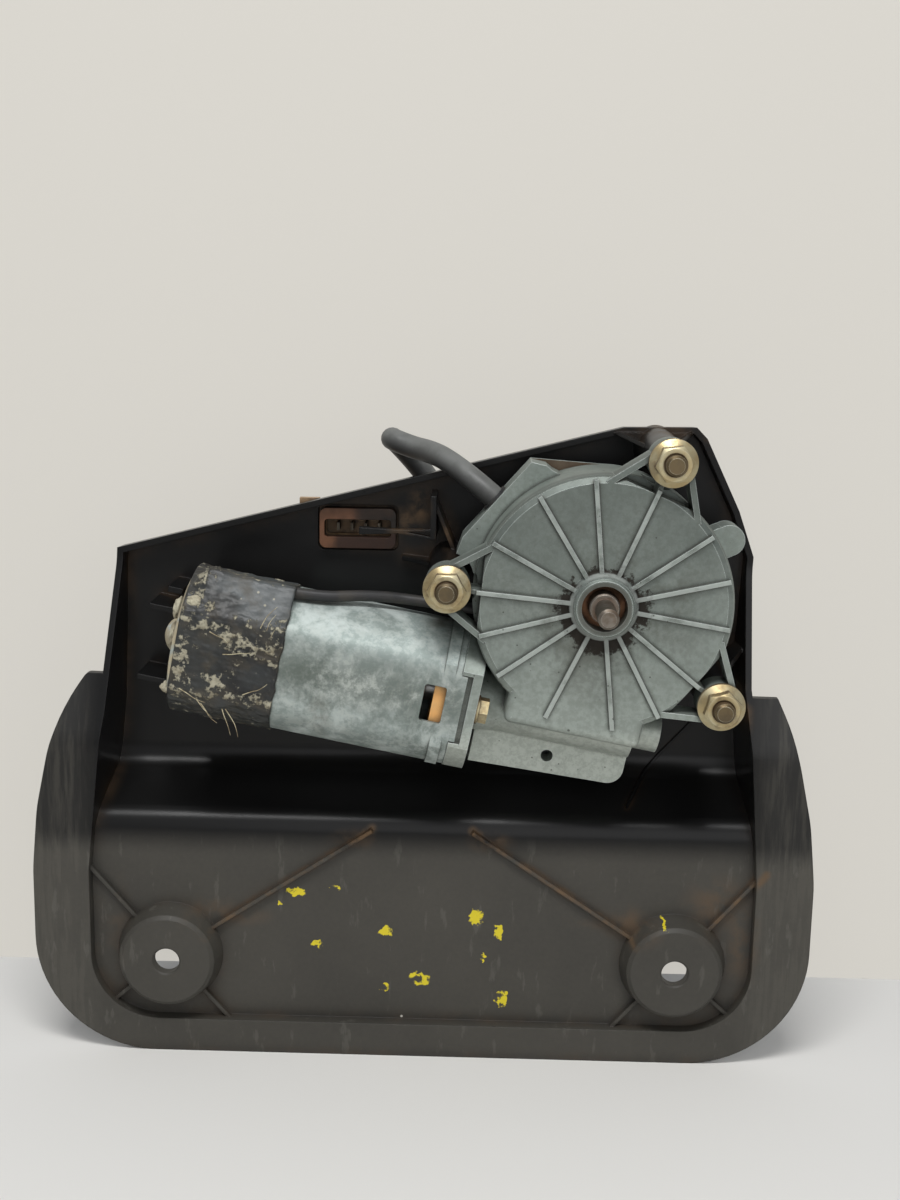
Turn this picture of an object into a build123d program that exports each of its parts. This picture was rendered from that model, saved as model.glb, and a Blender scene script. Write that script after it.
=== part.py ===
from build123d import *
import os
from math import asin, atan2, cos, degrees, pi, radians, sin, sqrt, tan

os.makedirs("parts", exist_ok=True)

# Rear wiper motor on a moulded bracket. Millimetres.
# The output shaft turns about the Y axis, its thread pointing along -Y. The origin is on that axis,
# in the plane of its shoulder and of the housing's boss ring. +X runs along the bracket, +Z is up.

# bracket, one black moulding
MID_X = -53.0            # middle of the bracket, beside the output shaft
HALF_W = 124.0           # half the flange's width
DROP = 154.0             # shaft axis down to the flange's lower edge
FLANGE_Y = 22.0          # front face of the flange and of the lower wall edges
PLATE_Y = 26.0           # front face of the lower plate
PANEL_Y = 50.0           # front face of the recessed upper panel
SHEET = 2.5
WALL = 2.0
WALL_DRAFT = 1.7         # how far the walls close in from front to back
CORNER_R = 38.5
RECESS_R = 23.5
BEND_R = 9.0
SHELF_TOP_Z = -63.0
SHELF_LOW_Z = -76.0
SLOPE_LOW_Z = -50.0      # above this the wall edges and the flange slope back
SLOPE_TOP_Z = 4.0
RIM_Y = 44.5             # front edge of the low rim round the top
SLOPE_BEND_R = 16.0
SOFT_R = 2.0
HORN_SOFT_R = 2.0
HORN_BOW_R = 60.0
PAST = 60.0              # how far a cutting shape runs past the object

# outlines as shares of HALF_W (from MID_X) and of DROP
WALL_SHARES = (
    (-0.871, -0.942), (-0.871, -0.6), (-0.827, -0.27), (-0.813, 0.057), (0.489, 0.327), (0.677, 0.329),
    (0.709, 0.303), (0.8, 0.154), (0.843, 0.058), (0.829, -0.2), (0.871, -0.6), (0.871, -0.942),
)
FLANGE_SHARES = (
    (-1.0, -1.0), (-0.998, -0.6), (-0.983, -0.47), (-0.95, -0.345), (-0.912, -0.255), (-0.862, -0.195),
    (0.892, -0.217), (0.925, -0.277), (0.95, -0.355), (0.982, -0.47), (1.0, -0.6), (1.0, -1.0),
)

# mounting bosses on the lower plate
BOLT_SPACING = 162.0
BOLT_Z = -121.4
BOSS_Y = 18.0
BOSS_R = 15.2
BOSS_ROOT_R = 17.0
BOSS_SOFT = 1.2
BOSS_FRONT = 3.5
BOLT_HOLE_R = 4.15
BOLT_HOLE_CHAMFER = 0.5
RIB_W = 1.2
RIB_UP = 1.8
RIB_SINK = 1.0
BOSS_RIB_ANGLES = (33.5, 131.0, -138.0, -49.0)   # on the left boss, mirrored on the right
BOSS_RIB_LENGTHS = (78.0, 45.0, 27.0, 31.0)
THIN_RIB_FROM = (44.0, -36.0)
THIN_RIB_TO = (12.0, -71.5)
THIN_RIB_W = 0.8
THIN_RIB_UP = 0.9
THIN_RIB_SINK = 0.6

# stud posts, their gussets and the bolts through them
STUD_OUT = 7.7           # stud circle outside the gear housing's body
STUD_ANGLES = (174.6, 66.6, -39.5)
POST_R = 5.3
POST_FOOT_R = 7.0
POST_TOP_Y = 14.0
BOLT_R = 3.0
HEX_AF = 10.0
HEX_UP = 4.0
HEX_FIT = 0.1
HEAD_Y = 52.5
BOLT_TIP_Y = -5.0
BOLT_TIP_CHAMFER = 0.7
NUT_SEAT_Y = 4.0
NUT_H = 6.0
NUT_FLANGE_R = 7.1
NUT_FLANGE_H = 1.4
NUT_BORE_CHAMFER = 0.5

# window for the connector, latch finger, end-stop ribs
WINDOW_X = -75.8
WINDOW_Z = 15.0
WINDOW_W = 25.8
WINDOW_H = 14.6
WINDOW_R = 2.2
LATCH_POST_X = -51.2
LATCH_TOP_Z = 27.6
LATCH_LOW_Z = 13.9
LATCH_POST_W = 1.8
LATCH_Y = 37.0
LATCH_ROOT_H = 3.3
LATCH_WAIST_H = 1.1
LATCH_TIP_H = 2.3
LATCH_LENGTH = 23.1
LATCH_WAIST = 11.0
LATCH_THICK = 3.0
LATCH_UP = 2.4
LATCH_ARM = 0.9
STOP_RIB_W = 1.8
STOP_RIB_Y = 33.0
STOP_RIB_END = -126.4
STOP_RIB_STARTS = (-136.0, -136.0, -131.0)
STOP_RIB_HEIGHTS = (-18.3, 5.0, 11.6)

# gear housing, die cast
CENTRES = 40.0           # output shaft to motor axis
TILT = 10.9              # the motor axis falls by this angle to the right
AXIS_Y = 25.0            # plane of the motor axis and of the worm wheel's middle
BODY_WALL = 2.5
WORM_PITCH_R = 6.0
TOOTH_OUT = 1.0
WHEEL_ROOM = 1.0
WHEEL_PITCH_R = CENTRES - WORM_PITCH_R
BODY_R = WHEEL_PITCH_R + TOOTH_OUT + WHEEL_ROOM + BODY_WALL
STUD_R = BODY_R + STUD_OUT
BODY_FRONT_Y = 4.0
BODY_BACK_Y = 34.0
SHOULDER = 2.2
CAVITY_STEP = 2.0
CAVITY_STEP_Y = 16.0
SPOKE_ANGLES = (12.5, 34.5, 66.6, 95.5, 121.5, 151.0, 174.6, -165.3, -145.0, -115.6, -84.3, -62.5, -39.5, -9.6)
SPOKE_W = 1.3
SPOKE_UP = 1.1
SPOKE_END_R = BODY_R - 1.0
SPOKE_SINK = 3.0
SHAFT_BOSS_R = 8.9
SHAFT_BOSS_FOOT_R = 10.6
SHAFT_BORE_R = 6.7
BOSS_LIP = 0.7
INNER_BOSS_R = 9.5
INNER_BOSS_Y = 17.0
EAR_R = 6.7
EAR_DEEP = 10.0
EAR_HOLE_R = 3.3
EAR_RIB_W = 1.8
EAR_RIB_SIDE = 5.6
EAR_RIB_IN = BODY_R - 5.3
EAR_RIB_OUT_SIDE = 14.4
SCALLOP_R = 9.0
NOTCH_IN = 2.4
NOTCH_HALF = 12.0
RIM_FLANGE_Y = 26.0
LOBE_SHARES = (
    (-0.985, 0.18), (-0.92, 0.367), (-0.474, 0.876), (-0.373, 0.855), (-0.329, 0.82), (-0.285, 0.8), (0.0, 0.5),
    (-0.5, 0.0),
)
LOBE_TIP = 2             # which of these points is the lobe's tip
LOBE_BASE = BODY_R + 7.1
LOBE_Y = 22.6            # front of the lobe, which hides the sleeve's exit
LUG_OUT = 4.2
LUG_ANGLE = 23.15
LUG_R = 4.8
LUG_X = (BODY_R + LUG_OUT) * cos(radians(LUG_ANGLE))
LUG_Z = (BODY_R + LUG_OUT) * sin(radians(LUG_ANGLE))
TUNNEL_R = 9.0
TUNNEL_BORE_R = 7.4
TUNNEL_END = 19.8
CHIN_LEFT = -21.5
CHIN_LOW = -0.6
CHIN_TOP = 15.0
FOOT_LEFT = -28.0
FOOT_RIGHT = 20.4
FOOT_LOW = -20.9
FOOT_RISE = 2.0
FOOT_R = 5.0
FOOT_HOLE_X = -4.1
FOOT_HOLE_Z = -14.3
FOOT_HOLE_R = 1.9
POST_GAP = 0.7
RIM_LEFT = -36.0
RIM_RIGHT = -29.8
RIM_R = 22.6
RIM_HALF = 19.3
NECK_R = 10.2
HEAD_ROOM = 0.5
NECK_RIGHT = -22.0
STUB_R = 5.6
STUB_END = 28.0

# cover, gasket, screws
GASKET = 0.5
COVER = 1.6
COVER_SCREW_R = 1.6
COVER_HEAD_R = 3.1
COVER_HEAD_UP = 2.2
COVER_SCREW_DEEP = 6.5
COVER_DRIVE_R = 1.5
COVER_DRIVE_DEEP = 1.2
UPPER_SCREW_SHARES = ((-0.885, 0.26), (-0.405, 0.775))
FOOT_SCREWS = ((14.5, -14.0), (-22.0, -15.4))
COVER_PAD_R = 3.6

# output shaft group
SHAFT_R = 4.5
THREAD_R = 3.0
THREAD_TIP_Y = -15.0
THREAD_CHAMFER = 0.8
THREAD_NECK = 0.6
SHAFT_END_Y = 32.4
SHAFT_CHAMFER = 0.4
RUN_FIT = 0.04
BUSH_FRONT_Y = 7.0
BUSH_BACK_Y = 14.0
SEAL_BACK_Y = 16.6
SEAL_FIT = 0.05
THRUST_WASHER = 0.8
THRUST_GAP = 0.05
THRUST_WASHER_R = 9.2
HUB_R = 8.0
HUB_BACK_Y = 31.0
HUB_KNURL = 0.5
TEETH = 60
WHEEL_HALF = 3.5
WHEEL_WEB = 3.0
WHEEL_RIM_IN_R = WHEEL_PITCH_R - 5.0
WHEEL_HUB_R = 12.0
WHEEL_HOLES = 6
WHEEL_HOLE_R = 3.2
WHEEL_HOLE_AT_R = (WHEEL_HUB_R + WHEEL_RIM_IN_R) / 2
TOOTH_IN = 1.35
FLANK_ANGLE = 20.0
BACKLASH = 0.32
DISC = 0.5
DISC_IN_R = 12.6
DISC_OUT_R = 27.0
DISC_STEP_R = 20.0
DISC_GAP_ANGLE = 40.0

# contact plate and fingers
PLATE_FRONT_Y = 31.4
PLATE_THICK = 1.6
PLATE_R = BODY_R - BODY_WALL * 2
PLATE_HOLE_R = 9.0
FINGER_W = 3.0
FINGER_THICK = 0.4
FINGER_LONG = 17.0
FINGER_RADII = (15.5, 19.5, 24.5)
FINGER_TIP = 0.06
FINGER_ANGLE = 138.0

# motor can and what it holds, on the motor axis; x is measured from the foot of the shaft's perpendicular
CAN_R = 22.3
CAN_HALF = 19.0
CAN_WALL = 1.6
CAN_END = -122.6
CAN_OPEN = -36.0
CAN_EDGE_R = 3.0
CAN_SOFT_R = 8.0
CAN_BAND_LEFT = -41.5
CAN_BAND_RIGHT = -38.0
CAN_BAND_UP = 0.7
TONGUE_RIGHT = -34.2     # the can's two tongues reach into the rim up to here
TONGUE_ROOM_RIGHT = -32.6
TONGUE_HALF = 10.3
TONGUE_FIT = 0.3
CAN_WINDOW_LEFT = -46.2
CAN_WINDOW_RIGHT = -39.6
CAN_WINDOW_HALF = 5.7
CAN_WINDOW_R = 0.8
DOME_X = -121.5
DOME_R = 6.6
DOME_WALL = 1.4
LUG_PLATE_LEFT = -38.0
LUG_PLATE_HALF = 4.5
LUG_PLATE_IN = 10.9
CAN_SCREW_AT = 14.4
CAN_SCREW_R = 2.0
CAN_SCREW_TIP = -42.5
CAN_SCREW_AF = 7.0
CAN_SCREW_HEAD = 2.8
CAN_SCREW_WASHER_R = 4.4
CAN_SCREW_WASHER = 0.8
MAGNET_LEFT = -113.0
MAGNET_RIGHT = -63.0
MAGNET_IN_R = 15.3
MAGNET_ANGLE = 98.0
MAGNET_FIT = 0.05
CLIP = 0.6
CLIP_LEFT = -106.0
CLIP_RIGHT = -70.0
CLIP_HALF = 9.0
CLIP_LIP = 2.2

# armature
ARM_SHAFT_R = 4.0
REAR_PIN_R = 3.0
REAR_PIN_LEFT = -125.6
REAR_PIN_RIGHT = -114.5
CORE_LEFT = -108.0
CORE_RIGHT = -68.0
CORE_R = 14.6
CORE_SLOTS = 10
SLOT_NECK_W = 1.4
SLOT_W = 4.4
SLOT_IN_R = 8.0
SLOT_OUT_R = 12.8
WINDING_OUT_R = 13.4
WINDING_IN_R = 6.2
WINDING_REACH = 6.4
WINDING_R = 2.0
COMM_LEFT = -58.0
COMM_RIGHT = -46.0
COMM_R = 9.5
COMM_CORE_R = 6.6
COMM_RISER = 1.8
COMM_RISER_R = 11.0
COMM_BARS = 10
COMM_SLOT = 0.6
WORM_LEFT = -16.0
WORM_RIGHT = 14.0
WORM_ROOT_R = 4.6
WORM_OUT_R = 7.0
ARM_TIP = 23.5
TIP_R = 3.2
TIP_LEFT = 17.0
BALL_R = 2.0
BALL_SINK = 1.2
BALL_GAP = 0.02

# bearings
REAR_BALL_R = 5.15
REAR_BALL_FIT = 0.05
STAR_IN_R = 4.5
STAR_OUT_R = 10.2
STAR = 0.6
STAR_RIGHT = -118.2
FRONT_BUSH_LEFT = -35.0
FRONT_BUSH_RIGHT = -26.0
FRONT_BUSH_R = 6.6
TIP_BUSH_RIGHT = 20.6
PLUG_R = 3.6
PLUG_SLOT_W = 1.0
PLUG_SLOT_DEEP = 1.2

# brush gear
CARD_LEFT = -43.2
CARD_RIGHT = -39.3
CARD_FIT = 0.3
CARD_BORE_R = 11.0
CARD_SCREW_ROOM = 2.5
BRUSH_LEFT = -55.0
BRUSH_RIGHT = -49.0
BRUSH_HALF = 2.4
BRUSH_UP = 4.6
BRUSH_GAP = 0.04
HOLDER = 0.6
HOLDER_FIT = 0.05
HOLDER_LOW = 10.6
HOLDER_TOP = 19.3
HOLDER_FOOT = 1.2
COIL_R = 1.6
COIL_WIRE_R = 0.25
COIL_TURNS = 5

# leads, tape and connector
LEAD_R = 1.7
LEAD_LIE = 0.3
LEAD_SIDE_ANGLE = 115.0
LEAD_LEFT = -118.0
LEAD_LEAVES = -86.0
TAPE_LEFT = -123.0
TAPE_RIGHT = -91.5
TAPE = 0.8
SLEEVE_R = 3.6
SLEEVE_Y = 28.5
GROMMET_R = SLEEVE_R + 0.5
GROMMET_LIP_R = GROMMET_R + 0.4
GROMMET_LIP = 0.8
EXIT_ANGLE = 139.0
EXIT_R = BODY_R + 4.1
EXIT_RUN = 5.0
CONN_W = 24.4
CONN_H = 12.8
CONN_MOUTH_W = 21.4
CONN_MOUTH_H = 5.8
CONN_BOOT_R = SLEEVE_R + 1.3
CONN_BOOT_UP = 4.0
CONN_FRONT_Y = 47.5
CONN_BACK_Y = 66.0
CONN_WALL = 1.8
CONN_FLOOR_Y = 58.0
CONN_TAB_W = 6.4
CONN_TAB_TOP_Z = 23.8
TERMINALS = 4
TERMINAL_W = 0.8
TERMINAL_PITCH = 4.4
TERMINAL_FRONT_Y = 51.5


def poly(points):
    return make_face(Polyline(*points, close=True))


def slab(face, y_front, y_back):
    """A face drawn in X and Z, made solid from y_front back to y_back."""
    return extrude(Plane.XZ.offset(-y_back) * face, amount=y_back - y_front)


def rod_y(x, z, radius, y_front, y_back):
    return slab(Pos(x, z) * Circle(radius), y_front, y_back)


def turned_y(points):
    """Turned about the output shaft; points are (radius, y)."""
    return revolve(poly(points), Axis.Y)


def turned_x(points):
    """Turned about the motor axis; points are (x, radius)."""
    return revolve(poly(points), Axis.X)


def rod_x(x_left, x_right, radius, y=0, z=0):
    face = Plane.YZ.offset(x_left) * Pos(y, z) * Circle(radius)
    return extrude(face, amount=x_right - x_left)


def bar_x(face, x_left, x_right):
    """A face drawn in Y and Z, made solid from x_left to x_right."""
    return extrude(Plane.YZ.offset(x_left) * face, amount=x_right - x_left)


def on_motor(shape):
    """From motor coordinates (x along the motor axis) into the shared frame."""
    return Pos(0, AXIS_Y, 0) * Rot(0, TILT, 0) * Pos(0, 0, -CENTRES) * shape


def motor_point(x, y, z):
    """The same step for one point."""
    low = z - CENTRES
    turn = radians(TILT)
    return (x * cos(turn) + low * sin(turn), y + AXIS_Y, low * cos(turn) - x * sin(turn))


def stud_points():
    return [(STUD_R * cos(radians(a)), STUD_R * sin(radians(a))) for a in STUD_ANGLES]


def boss_points():
    half = BOLT_SPACING / 2
    return [(MID_X - half, BOLT_Z), (MID_X + half, BOLT_Z)]


def from_shares(shares, wide, tall, middle=0):
    return [(middle + a * wide, b * tall) for a, b in shares]


def plank(start, end, width, y_front, y_back):
    """An upright rib between two points of the X-Z plane."""
    run_x = end[0] - start[0]
    run_z = end[1] - start[1]
    length = sqrt(run_x ** 2 + run_z ** 2)
    face = Pos((start[0] + end[0]) / 2, (start[1] + end[1]) / 2) * Rot(0, 0, degrees(atan2(run_z, run_x)))
    return slab(face * Rectangle(length, width), y_front, y_back)


# ---- bracket


def wall_face(inset):
    """Outline of the walls, its two low corners rounded, drawn in from the outside by inset."""
    face = poly(from_shares(WALL_SHARES, HALF_W, DROP, MID_X))
    low = face.vertices().sort_by(Axis.Y)[:2]
    face = fillet(low, radius=RECESS_R)
    if inset:
        face = offset(face, amount=-inset, kind=Kind.INTERSECTION)
    return face


def drafted(inset, y_back):
    """The walls' outline from the flange plane back, closing in as it goes."""
    front = Plane.XZ.offset(-FLANGE_Y) * wall_face(inset)
    back = Plane.XZ.offset(-y_back) * wall_face(inset + WALL_DRAFT)
    return loft([front, back], ruled=True)


def section(points, corners, radius):
    """A closed section in Y and Z with two of its corners rounded."""
    face = poly(points)
    picked = [v for v in face.vertices() if any(abs(v.X - c[0]) + abs(v.Y - c[1]) < SOFT_R for c in corners)]
    return fillet(picked, radius=radius)


def across(face):
    """A section in Y and Z made solid over the bracket's whole width."""
    return bar_x(face, MID_X - HALF_W - PAST, MID_X + HALF_W + PAST)


def bracket_shell():
    front_of_sheet = sheet_front()
    hollow = drafted(WALL, PANEL_Y + SHEET) & across(front_of_sheet)
    filled = drafted(0, PANEL_Y + SHEET) & across(offset(front_of_sheet, amount=SHEET))
    front_of_flange = section(
        [(-PAST, PAST), (RIM_Y, PAST), (RIM_Y, SLOPE_TOP_Z), (FLANGE_Y, SLOPE_LOW_Z),
         (FLANGE_Y, -DROP - PAST), (-PAST, -DROP - PAST)],
        [(RIM_Y, SLOPE_TOP_Z), (FLANGE_Y, SLOPE_LOW_Z)], SLOPE_BEND_R)
    band = across(offset(front_of_flange, amount=SHEET)) - across(front_of_flange)
    edge = poly(from_shares(FLANGE_SHARES, HALF_W, DROP, MID_X))
    low = edge.vertices().sort_by(Axis.Y)[:2]
    edge = fillet(low, radius=CORNER_R)
    sides = edge.vertices().filter_by(lambda v: v.Y > -DROP * 2 / 3).sort_by(Axis.Y)[:-2]
    edge = fillet(sides, radius=HORN_BOW_R)
    edge = fillet(edge.vertices().sort_by(Axis.Y)[-2:], radius=HORN_SOFT_R)
    flange = band & slab(edge, FLANGE_Y, RIM_Y + SHEET)
    return filled + flange - hollow - across(front_of_flange), hollow


def sheet_front():
    """The section, in Y and Z, of the room in front of the S-shaped sheet."""
    return section(
        [(-PAST, PAST), (PANEL_Y, PAST), (PANEL_Y, SHELF_TOP_Z), (PLATE_Y, SHELF_LOW_Z),
         (PLATE_Y, -DROP - PAST), (-PAST, -DROP - PAST)],
        [(PANEL_Y, SHELF_TOP_Z), (PLATE_Y, SHELF_LOW_Z)], BEND_R)


def thin_rib():
    """A low rib that runs down the panel and on over the bend."""
    wall = plank(THIN_RIB_FROM, THIN_RIB_TO, THIN_RIB_W, 0, PANEL_Y + THIN_RIB_SINK)
    near = across(offset(sheet_front(), amount=THIN_RIB_SINK)) - across(offset(sheet_front(), amount=-THIN_RIB_UP))
    return wall & near


def boss_ribs(hollow):
    ribs = []
    for side, (x, z) in zip((1, -1), boss_points()):
        for angle, length in zip(BOSS_RIB_ANGLES, BOSS_RIB_LENGTHS):
            end = (x + side * length * cos(radians(angle)), z + length * sin(radians(angle)))
            ribs.append(plank((x, z), end, RIB_W, PLATE_Y - RIB_UP, PLATE_Y + RIB_SINK))
    return [rib & hollow for rib in ribs]


def boss_cup(x, z):
    cup = turned_y([
        (0, BOSS_Y), (BOSS_R - BOSS_SOFT, BOSS_Y), (BOSS_R, BOSS_Y + BOSS_SOFT), (BOSS_ROOT_R, PLATE_Y),
        (BOSS_ROOT_R, PLATE_Y + SHEET), (0, PLATE_Y + SHEET)])
    return Pos(x, 0, z) * cup


def boss_bore(x, z):
    inner = BOSS_R - SHEET
    bore = turned_y([
        (0, BOSS_Y), (BOLT_HOLE_R + BOLT_HOLE_CHAMFER, BOSS_Y), (BOLT_HOLE_R, BOSS_Y + BOLT_HOLE_CHAMFER),
        (BOLT_HOLE_R, BOSS_Y + BOSS_FRONT), (inner, BOSS_Y + BOSS_FRONT), (inner, PLATE_Y + SHEET),
        (0, PLATE_Y + SHEET)])
    return Pos(x, 0, z) * bore


def post(x, z):
    shape = turned_y([
        (0, POST_TOP_Y), (POST_R, POST_TOP_Y), (POST_FOOT_R, PANEL_Y), (POST_FOOT_R, PANEL_Y + SHEET),
        (0, PANEL_Y + SHEET)])
    return Pos(x, 0, z) * shape


def post_bore(x, z):
    hexagon = RegularPolygon(HEX_AF / 2 + HEX_FIT, 6, major_radius=False)
    pocket = slab(Pos(x, z) * hexagon, HEAD_Y - HEX_UP, PANEL_Y + SHEET)
    return rod_y(x, z, BOLT_R, POST_TOP_Y, PANEL_Y + SHEET) + pocket


def gusset(start, end, y_at_start, y_at_end):
    """An upright rib on the panel whose front edge slopes from one depth to another."""
    run_x = end[0] - start[0]
    run_z = end[1] - start[1]
    length = sqrt(run_x ** 2 + run_z ** 2)
    place = Plane(
        origin=(start[0], 0, start[1]), x_dir=(run_x / length, 0, run_z / length),
        z_dir=(-run_z / length, 0, run_x / length))
    face = poly([(0, y_at_start), (length, y_at_end), (length, PANEL_Y), (0, PANEL_Y)])
    return extrude(place * face, amount=RIB_W / 2, both=True)


def gussets():
    """Ribs that tie the three posts to the rim and the panel."""
    left, top, right = stud_points()
    high = FLANGE_Y
    low = PANEL_Y - POST_R
    rim_left = (top[0] - POST_R * 2.6, top[1] + POST_R)
    rim_right = (top[0] + POST_R * 2, top[1] + POST_R)
    parts = [
        gusset(top, rim_left, high, RIM_Y),
        gusset(top, rim_right, high, RIM_Y),
        gusset(right, (right[0] + POST_R * 3, right[1] + POST_R * 2.4), high, low),
        gusset((left[0] + POST_R * 0.7, left[1]), (LATCH_POST_X, LATCH_TOP_Z - LATCH_POST_W), LATCH_Y, LATCH_Y),
        gusset(left, (left[0] - POST_R * 2.9, left[1] + POST_R / 3), LATCH_Y, low),
    ]
    web = poly([top, rim_left, rim_right])
    parts.append(slab(web, RIM_Y - WALL, RIM_Y))
    return parts


def latch():
    """An upright with a springy finger in front of the connector's mouth."""
    tall = LATCH_TOP_Z - LATCH_LOW_Z
    upright = slab(
        Pos(LATCH_POST_X, LATCH_LOW_Z + tall / 2) * Rectangle(LATCH_POST_W, tall), LATCH_Y - LATCH_THICK, PANEL_Y)
    mid = LATCH_LOW_Z + LATCH_UP
    waist = LATCH_POST_X - LATCH_WAIST
    tip = LATCH_POST_X - LATCH_LENGTH
    finger = poly([
        (LATCH_POST_X, LATCH_LOW_Z), (LATCH_POST_X, LATCH_LOW_Z + LATCH_ROOT_H), (waist, mid + LATCH_WAIST_H / 2),
        (tip, mid + LATCH_TIP_H / 2), (tip, mid - LATCH_TIP_H / 2), (waist, mid - LATCH_WAIST_H / 2)])
    root = LATCH_POST_X - LATCH_POST_W / 2
    eye = poly([
        (root, LATCH_LOW_Z + LATCH_ARM), (root, LATCH_LOW_Z + LATCH_ROOT_H - LATCH_ARM),
        (root - LATCH_WAIST * 0.7, mid)])
    return [upright, slab(finger - eye, LATCH_Y - LATCH_THICK, LATCH_Y)]


def stop_ribs():
    """Three ribs on the panel just beyond the can's closed end."""
    ribs = []
    for start, height in zip(STOP_RIB_STARTS, STOP_RIB_HEIGHTS):
        near = motor_point(start, 0, height)
        far = motor_point(STOP_RIB_END, 0, height)
        ribs.append(plank((near[0], near[2]), (far[0], far[2]), STOP_RIB_W, STOP_RIB_Y, PANEL_Y))
    low = motor_point(STOP_RIB_END - STOP_RIB_W, 0, STOP_RIB_HEIGHTS[0])
    high = motor_point(STOP_RIB_END - STOP_RIB_W, 0, STOP_RIB_HEIGHTS[2])
    ribs.append(plank((low[0], low[2]), (high[0], high[2]), STOP_RIB_W, PANEL_Y - POST_R, PANEL_Y))
    return ribs


def make_bracket():
    shell, hollow = bracket_shell()
    inside = drafted(WALL / 2, PANEL_Y + SHEET)
    shell += boss_ribs(hollow) + [thin_rib() & hollow]
    shell += [boss_cup(x, z) for x, z in boss_points()]
    shell -= [boss_bore(x, z) for x, z in boss_points()]
    shell += [post(x, z) for x, z in stud_points()]
    shell += [piece & inside for piece in gussets()]
    shell += latch() + stop_ribs()
    shell -= [post_bore(x, z) for x, z in stud_points()]
    window = Pos(WINDOW_X, WINDOW_Z) * RectangleRounded(WINDOW_W, WINDOW_H, WINDOW_R)
    shell -= slab(window, PANEL_Y, PANEL_Y + SHEET)
    return shell


# ---- fixings of the housing


def make_housing_bolts():
    bolts = []
    for x, z in stud_points():
        shank = turned_y([
            (0, BOLT_TIP_Y), (BOLT_R - BOLT_TIP_CHAMFER, BOLT_TIP_Y), (BOLT_R, BOLT_TIP_Y + BOLT_TIP_CHAMFER),
            (BOLT_R, HEAD_Y - HEX_UP), (0, HEAD_Y - HEX_UP)])
        hexagon = RegularPolygon(HEX_AF / 2, 6, major_radius=False)
        bolts.append(Pos(x, 0, z) * shank + slab(Pos(x, z) * hexagon, HEAD_Y - HEX_UP, HEAD_Y))
    return Compound(children=bolts)


def make_flange_nuts():
    nuts = []
    for number, (x, z) in enumerate(stud_points()):
        front = NUT_SEAT_Y - NUT_H
        prism = slab(Rot(0, 0, number * NUT_FLANGE_R) * RegularPolygon(HEX_AF / 2, 6, major_radius=False),
                     front, NUT_SEAT_Y)
        round_off = turned_y([
            (0, front), (HEX_AF / 2 - BOLT_TIP_CHAMFER / 2, front), (NUT_FLANGE_R, front + NUT_FLANGE_R / 4),
            (NUT_FLANGE_R, NUT_SEAT_Y), (0, NUT_SEAT_Y)])
        skirt = turned_y([
            (0, NUT_SEAT_Y - NUT_FLANGE_H * 2), (HEX_AF / 2, NUT_SEAT_Y - NUT_FLANGE_H * 2),
            (NUT_FLANGE_R, NUT_SEAT_Y - NUT_FLANGE_H), (NUT_FLANGE_R, NUT_SEAT_Y), (0, NUT_SEAT_Y)])
        bore = turned_y([
            (0, front), (BOLT_R + NUT_BORE_CHAMFER, front), (BOLT_R, front + NUT_BORE_CHAMFER),
            (BOLT_R, NUT_SEAT_Y), (0, NUT_SEAT_Y)])
        nuts.append(Pos(x, 0, z) * ((prism & round_off) + skirt - bore))
    return Compound(children=nuts)


# ---- gear housing


def lobe_outline():
    return poly(from_shares(LOBE_SHARES, LOBE_BASE, LOBE_BASE))


def rim_outline(grow=0):
    """Outline of the housing's back flange, the gasket and the cover, in X and Z."""
    lobe = lobe_outline()
    lug = Pos(LUG_X, LUG_Z) * Circle(LUG_R)
    lug_root = Rot(0, 0, LUG_ANGLE) * Pos(BODY_R - LUG_R / 2, 0) * Rectangle(LUG_R * 2.4, LUG_R * 2)
    foot = poly([
        (FOOT_LEFT, TUNNEL_R), (FOOT_LEFT, FOOT_LOW), (FOOT_RIGHT, FOOT_LOW + FOOT_RISE), (FOOT_RIGHT, TUNNEL_R)])
    corner = foot.vertices().sort_by(lambda v: v.X - v.Y)[-1]
    foot = Rot(0, 0, -TILT) * Pos(0, -CENTRES) * fillet(corner, radius=FOOT_R)
    face = Circle(BODY_R + grow) + lobe + lug + lug_root + foot
    left = stud_points()[0]
    right = stud_points()[2]
    for x, z in (left, right):
        face -= Pos(x, z) * Circle(POST_FOOT_R + POST_GAP)
    return face


def cover_screw_points():
    points = [(LUG_X, LUG_Z)] + from_shares(UPPER_SCREW_SHARES, LOBE_BASE, LOBE_BASE)
    for x, z in FOOT_SCREWS:
        place = motor_point(x, 0, z)
        points.append((place[0], place[2]))
    return points


def ear(x, z):
    """One mounting ear: a short tube, tied to the body by a spoke and two side ribs."""
    back = BODY_FRONT_Y + EAR_DEEP
    shape = rod_y(x, z, EAR_R, BODY_FRONT_Y, back)
    along = atan2(z, x)
    shape += plank((x, z), (x * EAR_RIB_IN / STUD_R, z * EAR_RIB_IN / STUD_R), SPOKE_W, BODY_FRONT_Y, back)
    for side in (1, -1):
        start = (STUD_R, side * EAR_RIB_SIDE)
        end = (EAR_RIB_IN, side * EAR_RIB_OUT_SIDE)
        turned = [(p * cos(along) - q * sin(along), p * sin(along) + q * cos(along)) for p, q in (start, end)]
        shape += plank(turned[0], turned[1], EAR_RIB_W, BODY_FRONT_Y, back)
    return shape


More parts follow.
